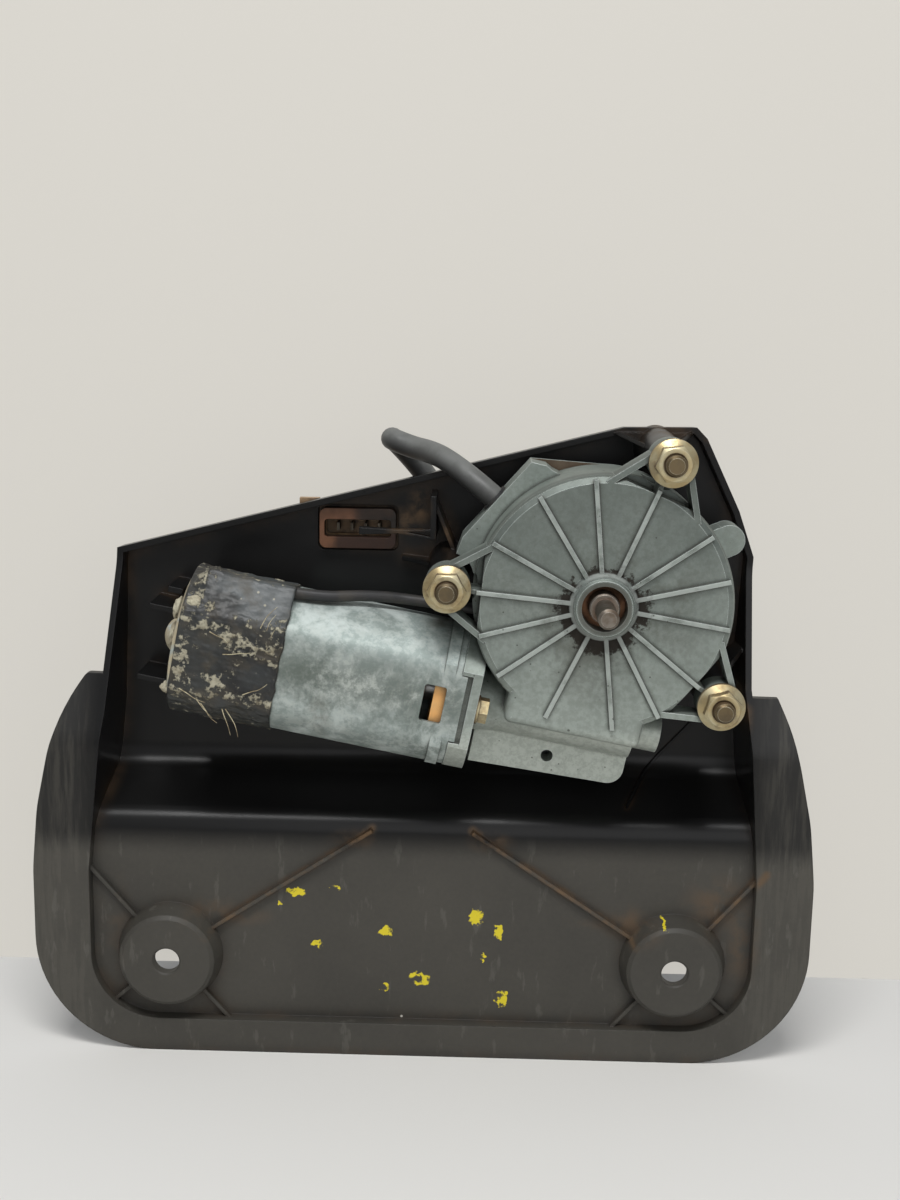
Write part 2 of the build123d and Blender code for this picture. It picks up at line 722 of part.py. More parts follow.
def chin(inset):
    """The box in front of the worm tunnel, flush with the body's face, drawn in from the outside by inset."""
    left = CHIN_LEFT + inset
    right = TUNNEL_END - inset
    low = CHIN_LOW + inset
    front = BODY_FRONT_Y + inset - AXIS_Y
    box = Pos((left + right) / 2, front / 2, (low + CHIN_TOP) / 2) * Box(right - left, -front, CHIN_TOP - low)
    if inset:
        return on_motor(box)
    edges = box.edges().filter_by(Axis.Y).sort_by(Axis.Z)[:2]
    edges += box.faces().sort_by(Axis.Y)[0].edges()
    return on_motor(fillet(edges, radius=SHOULDER))


def cavity():
    """The room for the wheel and the worm, open at the back."""
    inner_r = BODY_R - BODY_WALL
    front = BODY_FRONT_Y + BODY_WALL
    low_r = inner_r - CAVITY_STEP
    shape = turned_y([
        (0, front), (low_r - SHOULDER, front), (low_r, front + SHOULDER), (low_r, CAVITY_STEP_Y),
        (inner_r, CAVITY_STEP_Y + CAVITY_STEP), (inner_r, BODY_BACK_Y), (0, BODY_BACK_Y)])
    return shape + chin(BODY_WALL)


def ear_notch(angle):
    """The flat cut in the body behind one ear."""
    depth = PAST / 2
    face = Rot(0, 0, angle) * Pos(BODY_R - NOTCH_IN + depth, 0) * Rectangle(depth * 2, NOTCH_HALF * 2)
    return slab(face, BODY_FRONT_Y, BODY_FRONT_Y + EAR_DEEP)


def make_gear_housing():
    body = turned_y([
        (0, BODY_FRONT_Y), (BODY_R - SHOULDER, BODY_FRONT_Y), (BODY_R - SHOULDER / 4, BODY_FRONT_Y + SHOULDER / 2),
        (BODY_R, BODY_FRONT_Y + SHOULDER), (BODY_R, BODY_BACK_Y), (0, BODY_BACK_Y)])
    body -= [ear_notch(angle) for angle in STUD_ANGLES]
    body -= [rod_y(x, z, SCALLOP_R, BODY_FRONT_Y, RIM_FLANGE_Y) for x, z in stud_points()]
    body += [ear(x, z) for x, z in stud_points()]
    body += chin(0)
    body += spokes()
    body += turned_y([
        (0, 0), (SHAFT_BOSS_R - BOSS_LIP, 0), (SHAFT_BOSS_R, BOSS_LIP), (SHAFT_BOSS_R, BODY_FRONT_Y - SPOKE_UP * 2),
        (SHAFT_BOSS_FOOT_R, BODY_FRONT_Y), (0, BODY_FRONT_Y)])
    body += slab(rim_outline(), RIM_FLANGE_Y, BODY_BACK_Y)
    body += slab(lobe_outline() & rim_outline(), LOBE_Y, RIM_FLANGE_Y)
    rim_face = Circle(RIM_R) & Rectangle(RIM_HALF * 2, RIM_R * 2)
    neck = rod_x(RIM_LEFT, TUNNEL_END, TUNNEL_R)
    neck += bar_x(rim_face, RIM_LEFT, RIM_RIGHT)
    neck += turned_x([(RIM_RIGHT, 0), (RIM_RIGHT, NECK_R), (NECK_RIGHT, TUNNEL_R), (NECK_RIGHT, 0)])
    neck += rod_x(TUNNEL_END, STUB_END, STUB_R)
    body += on_motor(neck)
    back_cut = slab(Circle(PAST * 2), BODY_BACK_Y, PAST)
    rim_keep = on_motor(bar_x(rim_face, RIM_LEFT, RIM_RIGHT))
    body -= back_cut - rim_keep
    body -= cavity()
    body += turned_y([(0, BODY_FRONT_Y), (INNER_BOSS_R, BODY_FRONT_Y), (INNER_BOSS_R, INNER_BOSS_Y), (0, INNER_BOSS_Y)])
    body -= turned_y([(0, 0), (SHAFT_BORE_R, 0), (SHAFT_BORE_R, INNER_BOSS_Y), (0, INNER_BOSS_Y)])
    for x, z in stud_points():
        body -= rod_y(x, z, EAR_HOLE_R, BODY_FRONT_Y - SPOKE_UP, BODY_FRONT_Y + EAR_DEEP)
        body -= slab(Pos(x, z) * Circle(NUT_FLANGE_R), BODY_FRONT_Y - SPOKE_UP, BODY_FRONT_Y)
    bores = turned_x([
        (RIM_LEFT, 0), (RIM_LEFT, FRONT_BUSH_R), (FRONT_BUSH_RIGHT, FRONT_BUSH_R), (FRONT_BUSH_RIGHT, TUNNEL_BORE_R),
        (TIP_LEFT, TUNNEL_BORE_R), (TIP_LEFT, TIP_R + RUN_FIT), (ARM_TIP, TIP_R + RUN_FIT), (ARM_TIP, PLUG_R),
        (STUB_END, PLUG_R), (STUB_END, 0)])
    body -= on_motor(bores)
    body -= on_motor(tongue_room())
    for side in (1, -1):
        body -= on_motor(rod_x(RIM_LEFT, RIM_RIGHT, CAN_SCREW_R, side * CAN_SCREW_AT))
    hole = motor_point(FOOT_HOLE_X, 0, FOOT_HOLE_Z)
    body -= rod_y(hole[0], hole[2], FOOT_HOLE_R, RIM_FLANGE_Y, BODY_BACK_Y)
    for x, z in cover_screw_points():
        body -= rod_y(x, z, COVER_SCREW_R, BODY_BACK_Y - COVER_SCREW_DEEP, BODY_BACK_Y)
    body -= lead_exit(GROMMET_R, BODY_R - BODY_WALL * 2, EXIT_R + GROMMET_R)
    return body - screw_room() - make_motor_lead()


def spokes():
    ribs = []
    for angle in SPOKE_ANGLES:
        end = (SPOKE_END_R * cos(radians(angle)), SPOKE_END_R * sin(radians(angle)))
        start = (end[0] * SHAFT_BORE_R / SPOKE_END_R, end[1] * SHAFT_BORE_R / SPOKE_END_R)
        ribs.append(plank(start, end, SPOKE_W, BODY_FRONT_Y - SPOKE_UP, BODY_FRONT_Y + SPOKE_SINK))
    return ribs


def tongue_room():
    """The recess in the rim that takes the can's two tongues, in motor coordinates."""
    deep = CAN_WALL + TONGUE_FIT
    rooms = []
    for side in (1, -1):
        face = Pos(side * (RIM_HALF - deep / 2), 0) * Rectangle(deep, (TONGUE_HALF + TONGUE_FIT) * 2)
        rooms.append(bar_x(face, RIM_LEFT, TONGUE_ROOM_RIGHT))
    return rooms[0] + rooms[1]


def screw_room():
    """Space round the heads of the two can screws."""
    radius = CAN_SCREW_WASHER_R + HEAD_ROOM
    rods = [on_motor(rod_x(RIM_RIGHT, NECK_RIGHT, radius, side * CAN_SCREW_AT)) for side in (1, -1)]
    return rods[0] + rods[1]


def lead_exit(radius, r_in, r_out):
    """A round body along the line on which the sleeve leaves the housing."""
    face = Plane(
        origin=(r_in * cos(radians(EXIT_ANGLE)), SLEEVE_Y, r_in * sin(radians(EXIT_ANGLE))),
        z_dir=(cos(radians(EXIT_ANGLE)), 0, sin(radians(EXIT_ANGLE))))
    return extrude(face * Circle(radius), amount=r_out - r_in)


def cover_outline():
    """The rim's outline with a straight edge from the lobe's tip to the body's top."""
    tip = from_shares(LOBE_SHARES, LOBE_BASE, LOBE_BASE)[LOBE_TIP]
    return rim_outline() + poly([(0, 0), (0, BODY_R), tip])


def make_cover_gasket():
    face = cover_outline() - Circle(BODY_R - BODY_WALL)
    hole = motor_point(FOOT_HOLE_X, 0, FOOT_HOLE_Z)
    face -= Pos(hole[0], hole[2]) * Circle(FOOT_HOLE_R)
    for x, z in cover_screw_points():
        face -= Pos(x, z) * Circle(COVER_SCREW_R)
    shape = slab(face, BODY_BACK_Y, BODY_BACK_Y + GASKET)
    rim_face = Circle(RIM_R + POST_GAP) & Rectangle(PAST, RIM_R * 2)
    return shape - on_motor(bar_x(rim_face, RIM_LEFT - POST_GAP, RIM_RIGHT + POST_GAP)) - screw_room()


def make_housing_cover():
    face = cover_outline()
    hole = motor_point(FOOT_HOLE_X, 0, FOOT_HOLE_Z)
    face -= Pos(hole[0], hole[2]) * Circle(FOOT_HOLE_R)
    for x, z in cover_screw_points():
        face -= Pos(x, z) * Circle(COVER_SCREW_R)
    front = BODY_BACK_Y + GASKET
    shape = slab(face, front, front + COVER)
    shape += turned_y([
        (0, SHAFT_END_Y + THRUST_GAP), (COVER_PAD_R, SHAFT_END_Y + THRUST_GAP), (COVER_PAD_R, front + COVER), (0, front + COVER)])
    rim_face = Circle(RIM_R + POST_GAP) & Rectangle(PAST, RIM_R * 2)
    return shape - on_motor(bar_x(rim_face, RIM_LEFT - POST_GAP, RIM_RIGHT + POST_GAP)) - screw_room()


def make_cover_screws():
    seat = BODY_BACK_Y + GASKET + COVER
    screws = []
    for x, z in cover_screw_points():
        screw = turned_y([
            (0, BODY_BACK_Y - COVER_SCREW_DEEP), (COVER_SCREW_R, BODY_BACK_Y - COVER_SCREW_DEEP),
            (COVER_SCREW_R, seat), (COVER_HEAD_R, seat), (COVER_HEAD_R - COVER_HEAD_UP / 4, seat + COVER_HEAD_UP),
            (COVER_DRIVE_R, seat + COVER_HEAD_UP), (0, seat + COVER_HEAD_UP - COVER_DRIVE_DEEP)])
        screws.append(Pos(x, 0, z) * screw)
    return Compound(children=screws)


# ---- output shaft group


def make_output_shaft():
    return turned_y([
        (0, THREAD_TIP_Y), (THREAD_R - THREAD_CHAMFER, THREAD_TIP_Y), (THREAD_R, THREAD_TIP_Y + THREAD_CHAMFER),
        (THREAD_R, 0), (SHAFT_R - SHAFT_CHAMFER, 0), (SHAFT_R, SHAFT_CHAMFER),
        (SHAFT_R, SHAFT_END_Y - SHAFT_CHAMFER), (SHAFT_R - SHAFT_CHAMFER, SHAFT_END_Y), (0, SHAFT_END_Y)])


def ring_y(r_in, r_out, y_front, y_back):
    return turned_y([(r_in, y_front), (r_out, y_front), (r_out, y_back), (r_in, y_back)])


def make_shaft_bush():
    return ring_y(SHAFT_R + RUN_FIT, SHAFT_BORE_R, BUSH_FRONT_Y, BUSH_BACK_Y)


def make_shaft_seal():
    return ring_y(SHAFT_R + SEAL_FIT, SHAFT_BORE_R, BUSH_BACK_Y, SEAL_BACK_Y)


def make_thrust_washer():
    return ring_y(SHAFT_R + RUN_FIT, THRUST_WASHER_R, INNER_BOSS_Y, INNER_BOSS_Y + THRUST_WASHER)


def hub_front():
    return INNER_BOSS_Y + THRUST_WASHER + THRUST_GAP


def make_wheel_hub():
    return ring_y(SHAFT_R, HUB_R, hub_front(), HUB_BACK_Y)


def tooth_gash(depth):
    """One gash between two wheel teeth, wider at the tip, drawn radially outward along X."""
    pitch_half = (2 * pi * WHEEL_PITCH_R / TEETH) / 4 + BACKLASH / 4
    slope = tan(radians(FLANK_ANGLE))
    low = WHEEL_PITCH_R - TOOTH_IN
    high = WHEEL_PITCH_R + TOOTH_OUT * 2
    low_half = pitch_half - TOOTH_IN * slope
    high_half = pitch_half + TOOTH_OUT * 2 * slope
    face = poly([(low, -low_half), (high, -high_half), (high, high_half), (low, low_half)])
    lead = atan2(WHEEL_PITCH_R / TEETH, WORM_PITCH_R)
    shape = Pos(0, AXIS_Y, 0) * Rot(-degrees(lead), 0, 0) * Pos(0, -AXIS_Y, 0) * slab(
        face, AXIS_Y - depth, AXIS_Y + depth)
    return shape


def make_worm_wheel():
    front = AXIS_Y - WHEEL_HALF
    back = AXIS_Y + WHEEL_HALF
    web_front = AXIS_Y - WHEEL_WEB / 2
    web_back = AXIS_Y + WHEEL_WEB / 2
    tip = WHEEL_PITCH_R + TOOTH_OUT
    wheel = turned_y([
        (HUB_R, hub_front() + THRUST_WASHER), (WHEEL_HUB_R, hub_front() + THRUST_WASHER), (WHEEL_HUB_R, web_front),
        (WHEEL_RIM_IN_R, web_front), (WHEEL_RIM_IN_R, front), (tip, front), (tip, back), (HUB_R, back)])
    holes = [
        rod_y(WHEEL_HOLE_AT_R * cos(2 * pi * n / WHEEL_HOLES), WHEEL_HOLE_AT_R * sin(2 * pi * n / WHEEL_HOLES),
              WHEEL_HOLE_R, web_front, back - WHEEL_WEB / 2)
        for n in range(WHEEL_HOLES)]
    wheel -= holes
    foot_angle = -90 - TILT
    gash = tooth_gash(WHEEL_HALF * 2)
    gashes = [Rot(0, -foot_angle - 360 * n / TEETH, 0) * gash for n in range(TEETH)]
    return wheel - gashes


def make_park_disc():
    back = AXIS_Y + WHEEL_HALF
    disc = ring_y(DISC_IN_R, DISC_OUT_R, back, back + DISC)
    reach = DISC_OUT_R * 2
    wedge = poly([
        (0, 0), (reach, 0), (reach * cos(radians(DISC_GAP_ANGLE)), reach * sin(radians(DISC_GAP_ANGLE)))])
    wedge -= Circle(DISC_STEP_R)
    return disc - slab(wedge, back, back + DISC)


# ---- parking contacts


def finger_frame(shape):
    """From a frame with x pointing out of the housing along the lead's line."""
    return Rot(0, -FINGER_ANGLE, 0) * shape


def make_contact_plate():
    back = PLATE_FRONT_Y + PLATE_THICK
    plate = ring_y(PLATE_HOLE_R, PLATE_R, PLATE_FRONT_Y, back)
    plate -= slab(Rot(0, 0, FINGER_ANGLE) * Pos(-PLATE_R * 1.3, 0) * Rectangle(PLATE_R * 2, PLATE_R * 2.2),
                  PLATE_FRONT_Y, back)
    post_at = PLATE_R - COVER_HEAD_R * 2
    for turn in (40, -40):
        x = post_at * cos(radians(FINGER_ANGLE + turn))
        z = post_at * sin(radians(FINGER_ANGLE + turn))
        plate += rod_y(x, z, COVER_HEAD_R, back, BODY_BACK_Y + GASKET)
    return plate


def make_contact_fingers():
    disc_back = AXIS_Y + WHEEL_HALF + DISC
    fingers = []
    for number, radius in enumerate(FINGER_RADII):
        top = PLATE_FRONT_Y
        low = disc_back + FINGER_TIP
        side = poly([
            (0, top), (-FINGER_LONG / 3, top), (-FINGER_LONG, low + FINGER_THICK), (-FINGER_LONG, low),
            (-FINGER_LONG + FINGER_THICK * 3, low), (-FINGER_LONG / 3, top - FINGER_THICK), (0, top - FINGER_THICK)])
        blade = extrude(side, amount=FINGER_W / 2, both=True)
        fingers.append(finger_frame(Pos(radius, 0, 0) * Rot(0, 90, 0) * blade))
    return Compound(children=fingers)


# ---- motor can


def can_face(inset):
    """The can's section, drawn in from the outside by inset."""
    face = Circle(CAN_R - inset) & Rectangle((CAN_HALF - inset) * 2, CAN_R * 3)
    return fillet(face.vertices(), radius=CAN_SOFT_R - inset)


def can_body(inset, x_left, x_right):
    return bar_x(can_face(inset), x_left, x_right)


def make_motor_can():
    can = can_body(0, CAN_END, CAN_OPEN)
    edge_cut = turned_x([
        (CAN_END, CAN_R + CAN_EDGE_R), (CAN_END, CAN_R - CAN_EDGE_R), (CAN_END + CAN_EDGE_R / 4, CAN_R - CAN_EDGE_R / 4),
        (CAN_END + CAN_EDGE_R, CAN_R), (CAN_END + CAN_EDGE_R, CAN_R + CAN_EDGE_R)])
    can -= edge_cut
    can += rod_x(CAN_BAND_LEFT, CAN_BAND_RIGHT, CAN_R + CAN_BAND_UP) & bar_x(
        Rectangle(CAN_HALF * 2, CAN_R * 3), CAN_BAND_LEFT, CAN_BAND_RIGHT)
    can -= can_body(CAN_WALL, CAN_END + CAN_WALL, CAN_OPEN)
    can += Pos(DOME_X, 0, 0) * Sphere(DOME_R) & rod_x(CAN_END - DOME_R * 2, CAN_END + CAN_WALL, DOME_R)
    can -= Pos(DOME_X, 0, 0) * Sphere(DOME_R - DOME_WALL)
    tongues = Rectangle(CAN_HALF * 2, TONGUE_HALF * 2) - Rectangle((CAN_HALF - CAN_WALL) * 2, TONGUE_HALF * 2)
    can += bar_x(tongues, CAN_OPEN, TONGUE_RIGHT)
    window = RectangleRounded(CAN_WINDOW_RIGHT - CAN_WINDOW_LEFT, CAN_WINDOW_HALF * 2, CAN_WINDOW_R)
    window = Pos((CAN_WINDOW_LEFT + CAN_WINDOW_RIGHT) / 2, 0) * window
    can -= slab(window, -CAN_HALF, -CAN_HALF + CAN_WALL)
    for side in (1, -1):
        lug_mid = (CAN_HALF - CAN_WALL / 2 + LUG_PLATE_IN) / 2
        lug = Pos(side * lug_mid, 0) * Rectangle(CAN_HALF - CAN_WALL / 2 - LUG_PLATE_IN, LUG_PLATE_HALF * 2)
        can += bar_x(lug, LUG_PLATE_LEFT, CAN_OPEN)
        can -= rod_x(LUG_PLATE_LEFT, CAN_OPEN, CAN_SCREW_R, side * CAN_SCREW_AT)
    return on_motor(can)


def make_can_screws():
    screws = []
    for side in (1, -1):
        y = side * CAN_SCREW_AT
        seat = RIM_RIGHT + CAN_SCREW_WASHER
        screw = rod_x(CAN_SCREW_TIP, RIM_RIGHT, CAN_SCREW_R, y)
        screw += rod_x(RIM_RIGHT, seat, CAN_SCREW_WASHER_R, y)
        hexagon = Pos(y, 0) * RegularPolygon(CAN_SCREW_AF / 2, 6, major_radius=False)
        screw += bar_x(hexagon, seat, seat + CAN_SCREW_HEAD)
        screws.append(on_motor(screw))
    return Compound(children=screws)


def arc_block(r_in, r_out, span):
    """A ring sector in Y and Z about the +Z direction."""
    half = radians(span / 2)
    reach = r_out * 2
    wedge = poly([(0, 0), (-reach * sin(half), reach * cos(half)), (reach * sin(half), reach * cos(half))])
    return (Circle(r_out) - Circle(r_in)) & wedge


def make_field_magnets():
    face = arc_block(MAGNET_IN_R, CAN_R - CAN_WALL - MAGNET_FIT, MAGNET_ANGLE)
    upper = bar_x(face, MAGNET_LEFT, MAGNET_RIGHT)
    lower = Rot(180, 0, 0) * upper
    return Compound(children=[on_motor(upper), on_motor(lower)])


def make_magnet_clips():
    clips = []
    wall = CAN_HALF - CAN_WALL
    for side in (1, -1):
        strip = Pos(side * (wall - CLIP / 2), 0) * Rectangle(CLIP, CLIP_HALF * 2)
        shape = bar_x(strip, CLIP_LEFT, CLIP_RIGHT)
        for end in (1, -1):
            lip = Pos(side * (wall - CLIP_LIP / 2), end * (CLIP_HALF - CLIP / 2)) * Rectangle(CLIP_LIP, CLIP)
            shape += bar_x(lip, CLIP_LEFT, CLIP_RIGHT)
        clips.append(on_motor(shape))
    return Compound(children=clips)


# ---- armature


def worm_thread():
    """One helical thread whose axial section is a rack tooth of the wheel's pitch."""
    pitch = 2 * pi * WHEEL_PITCH_R / TEETH
    slope = tan(radians(FLANK_ANGLE))
    half = pitch / 4 - BACKLASH / 4
    low = WORM_ROOT_R - THREAD_NECK / 2
    low_half = half + (WORM_PITCH_R - low) * slope
    top_half = half - (WORM_OUT_R - WORM_PITCH_R) * slope
    length = WORM_RIGHT - WORM_LEFT - pitch * 2
    path = Helix(pitch=pitch, height=length, radius=WORM_PITCH_R)
    profile = Plane(origin=(0, 0, 0), x_dir=(1, 0, 0), z_dir=(0, -1, 0)) * poly([
        (low, -low_half), (WORM_OUT_R, -top_half), (WORM_OUT_R, top_half), (low, low_half)])
    thread = sweep(profile, path=path, is_frenet=True)
    return Pos(WORM_LEFT + pitch, 0, 0) * Rot(0, 90, 0) * thread


def make_armature_shaft():
    shaft = turned_x([
        (REAR_PIN_LEFT, 0), (REAR_PIN_LEFT, REAR_PIN_R), (REAR_PIN_RIGHT, REAR_PIN_R), (REAR_PIN_RIGHT, ARM_SHAFT_R),
        (WORM_LEFT, ARM_SHAFT_R), (WORM_LEFT, WORM_ROOT_R), (WORM_RIGHT, WORM_ROOT_R), (WORM_RIGHT, TIP_R),
        (ARM_TIP - BALL_SINK / 4, TIP_R), (ARM_TIP - BALL_SINK / 4, 0)])
    shaft += worm_thread()
    shaft -= Pos(ball_x(), 0, 0) * Sphere(BALL_R)
    return on_motor(shaft)


def ball_x():
    return ARM_TIP - BALL_SINK / 4 + BALL_R - BALL_SINK


def make_thrust_ball():
    return on_motor(Pos(ball_x(), 0, 0) * Sphere(BALL_R))


def make_thrust_plug():
    left = ball_x() + BALL_R + BALL_GAP
    plug = rod_x(left, STUB_END, PLUG_R)
    slot = bar_x(Rectangle(PLUG_SLOT_W, PLUG_R * 3), STUB_END - PLUG_SLOT_DEEP, STUB_END)
    return on_motor(plug - slot)


def slot_face():
    neck = Pos((SLOT_OUT_R + CORE_R) / 2, 0) * Rectangle(CORE_R - SLOT_OUT_R + SLOT_NECK_W, SLOT_NECK_W)
    pocket = Pos((SLOT_IN_R + SLOT_OUT_R) / 2, 0) * RectangleRounded(SLOT_OUT_R - SLOT_IN_R, SLOT_W, SLOT_NECK_W)
    return neck + pocket


def slot_spots():
    return [Rot(0, 0, 360 * n / CORE_SLOTS) for n in range(CORE_SLOTS)]


def make_armature_core():
    face = Circle(CORE_R) - Circle(ARM_SHAFT_R)
    for spot in slot_spots():
        face -= spot * slot_face()
    return on_motor(bar_x(face, CORE_LEFT, CORE_RIGHT))


def make_armature_windings():
    pocket = Pos((SLOT_IN_R + SLOT_OUT_R) / 2, 0) * RectangleRounded(SLOT_OUT_R - SLOT_IN_R, SLOT_W, SLOT_NECK_W)
    shape = None
    for spot in slot_spots():
        bar = bar_x(spot * pocket, CORE_LEFT, CORE_RIGHT)
        shape = bar if shape is None else shape + bar
    for x_near, x_far in ((CORE_LEFT, CORE_LEFT - WINDING_REACH), (CORE_RIGHT, CORE_RIGHT + WINDING_REACH)):
        toward = (x_far - x_near) / WINDING_REACH
        shape += turned_x([
            (x_near, WINDING_IN_R), (x_near, WINDING_OUT_R), (x_far - toward * WINDING_R, WINDING_OUT_R),
            (x_far, WINDING_OUT_R - WINDING_R), (x_far, WINDING_IN_R + WINDING_R), (x_far - toward * WINDING_R, WINDING_IN_R)])
    return on_motor(shape)


def make_commutator_core():
    return on_motor(turned_x([
        (COMM_LEFT, ARM_SHAFT_R), (COMM_LEFT, COMM_CORE_R), (COMM_RIGHT, COMM_CORE_R), (COMM_RIGHT, ARM_SHAFT_R)]))


def make_commutator_bars():
    ring = turned_x([
        (COMM_LEFT, COMM_CORE_R), (COMM_LEFT, COMM_RISER_R), (COMM_LEFT + COMM_RISER, COMM_RISER_R),
        (COMM_LEFT + COMM_RISER, COMM_R), (COMM_RIGHT, COMM_R), (COMM_RIGHT, COMM_CORE_R)])
    cuts = [
        Rot(360 * (n + 1 / 2) / COMM_BARS, 0, 0) * bar_x(
            Pos(0, COMM_RISER_R) * Rectangle(COMM_SLOT, COMM_RISER_R * 2), COMM_LEFT, COMM_RIGHT)
        for n in range(COMM_BARS)]
    return on_motor(ring - cuts)


# ---- bearings


def make_rear_bearing():
    ball = Pos(DOME_X, 0, 0) * Sphere(REAR_BALL_R)
    return on_motor(ball - rod_x(CAN_END - DOME_R, REAR_PIN_RIGHT, REAR_PIN_R + RUN_FIT))


def make_bearing_clip():
    left = CAN_END + CAN_WALL
    return on_motor(turned_x([
        (STAR_RIGHT - STAR, STAR_IN_R), (STAR_RIGHT, STAR_IN_R), (STAR_RIGHT, STAR_OUT_R), (left, STAR_OUT_R),
        (left, STAR_OUT_R - STAR), (STAR_RIGHT - STAR, STAR_OUT_R - STAR)]))


def make_front_bearing():
    return on_motor(turned_x([
        (FRONT_BUSH_LEFT, ARM_SHAFT_R + RUN_FIT), (FRONT_BUSH_LEFT, FRONT_BUSH_R), (FRONT_BUSH_RIGHT, FRONT_BUSH_R),
        (FRONT_BUSH_RIGHT, ARM_SHAFT_R + RUN_FIT)]))


# ---- brush gear


def make_brush_card():
    face = can_face(CAN_WALL + CARD_FIT) - Circle(CARD_BORE_R)
    for side in (1, -1):
        face -= Pos(side * CAN_SCREW_AT, 0) * Circle(CARD_SCREW_ROOM)
    return on_motor(bar_x(face, CARD_LEFT, CARD_RIGHT))


def two_brush_sides(upper):
    return Compound(children=[on_motor(upper), on_motor(Rot(180, 0, 0) * upper)])


def make_brush_holders():
    room_x = HOLDER_FIT + HOLDER
    outer = Pos((BRUSH_LEFT + BRUSH_RIGHT) / 2, 0, (HOLDER_LOW + HOLDER_TOP) / 2) * Box(
        BRUSH_RIGHT - BRUSH_LEFT + room_x * 2, (BRUSH_HALF + room_x) * 2, HOLDER_TOP - HOLDER_LOW)
    inner = Pos((BRUSH_LEFT + BRUSH_RIGHT) / 2, 0, (HOLDER_LOW + HOLDER_TOP) / 2 - HOLDER) * Box(
        BRUSH_RIGHT - BRUSH_LEFT + HOLDER_FIT * 2, (BRUSH_HALF + HOLDER_FIT) * 2, HOLDER_TOP - HOLDER_LOW)
    foot_left = BRUSH_RIGHT + HOLDER_FIT
    foot = Pos((foot_left + CARD_LEFT) / 2, 0, (CARD_BORE_R + HOLDER_TOP) / 2) * Box(
        CARD_LEFT - foot_left, HOLDER_FOOT, HOLDER_TOP - CARD_BORE_R)
    foot_keep = foot - inner
    return two_brush_sides(outer - inner + foot_keep)


def make_brushes():
    low = COMM_R + BRUSH_GAP
    block = Pos((BRUSH_LEFT + BRUSH_RIGHT) / 2, 0, low + BRUSH_UP / 2) * Box(
        BRUSH_RIGHT - BRUSH_LEFT, BRUSH_HALF * 2, BRUSH_UP)
    return two_brush_sides(block)


def make_brush_springs():
    low = COMM_R + BRUSH_GAP + BRUSH_UP
    high = HOLDER_TOP - HOLDER
    height = high - low - COIL_WIRE_R * 2
    path = Helix(pitch=height / COIL_TURNS, height=height, radius=COIL_R)
    start = Plane(origin=path @ 0, z_dir=path % 0)
    coil = sweep(start * Circle(COIL_WIRE_R), path=path, is_frenet=True)
    coil = Pos((BRUSH_LEFT + BRUSH_RIGHT) / 2, 0, low + COIL_WIRE_R) * coil
    return two_brush_sides(coil)


# ---- leads, tape, connector


def tube_along(points, bend_r, radius):
    path = FilletPolyline(*points, radius=bend_r)
    start = Plane(origin=path @ 0, z_dir=path % 0)
    return sweep(start * Circle(radius), path=path)


def lead_side():
    """Where the motor lead lies on the can, in Y and Z of the motor."""
    reach = CAN_R + LEAD_R + LEAD_LIE
    return (reach * cos(radians(LEAD_SIDE_ANGLE)), reach * sin(radians(LEAD_SIDE_ANGLE)))


LEAD_BEND_R = 12.0
LEAD_TOP_X = -68.0
LEAD_TOP_Y = -4.0
LEAD_TOP_Z = 25.6
LEAD_OFF_X = -52.0
LEAD_OFF_Z = 26.2
LEAD_HOUSE_ANGLE = 187.5
LEAD_HOUSE_Y = 20.0
LEAD_SINK = 1.5


def lead_points():
    side_y, side_z = lead_side()
    house = (
        (BODY_R - LEAD_SINK) * cos(radians(LEAD_HOUSE_ANGLE)), LEAD_HOUSE_Y,
        (BODY_R - LEAD_SINK) * sin(radians(LEAD_HOUSE_ANGLE)))
    return [
        motor_point(LEAD_LEFT, side_y, side_z), motor_point(LEAD_LEAVES, side_y, side_z),
        motor_point(LEAD_TOP_X, LEAD_TOP_Y, LEAD_TOP_Z), motor_point(LEAD_OFF_X, 0, LEAD_OFF_Z), house]


def make_motor_lead():
    return tube_along(lead_points(), LEAD_BEND_R, LEAD_R)


def make_tape_wrap():
    side_y, side_z = lead_side()
    around = can_face(-TAPE)
    lump = Pos(side_y, side_z) * Circle(LEAD_R + TAPE)
    away = LEAD_R + TAPE
    tangent = Rot(0, 0, LEAD_SIDE_ANGLE) * Pos(CAN_R - away, 0) * Rectangle(away * 3, away * 3)
    around = around + lump + (tangent & Circle(CAN_R + LEAD_R))
    around -= can_face(0)
    around -= Pos(side_y, side_z) * Circle(LEAD_R)
    return on_motor(bar_x(around, TAPE_LEFT + CAN_EDGE_R, TAPE_RIGHT))


SLEEVE_BEND_R = 4.5
SLEEVE_RUN = (           # from the window's middle: right, up; and the depth
    (28.8, 23.5, 38.0), (22.8, 25.2, 46.5), (17.3, 25.8, 52.0), (9.8, 28.3, 54.8), (10.6, 27.6, 62.4),
    (19.4, 18.1, 62.4), (23.8, 12.0, 61.5), (25.3, 0.0, 61.0), (11.5, 0.0, 61.0),
)


def sleeve_points():
    angle = radians(EXIT_ANGLE)
    points = [(r * cos(angle), SLEEVE_Y, r * sin(angle)) for r in (EXIT_R - GROMMET_R, EXIT_R + EXIT_RUN)]
    return points + [(WINDOW_X + right, y, WINDOW_Z + up) for right, up, y in SLEEVE_RUN]


def make_harness_sleeve():
    return tube_along(sleeve_points(), SLEEVE_BEND_R, SLEEVE_R)


def make_lead_grommet():
    collar = lead_exit(GROMMET_R, BODY_R - BODY_WALL, EXIT_R)
    lip = lead_exit(GROMMET_LIP_R, EXIT_R, EXIT_R + GROMMET_LIP)
    return collar + lip - make_harness_sleeve()


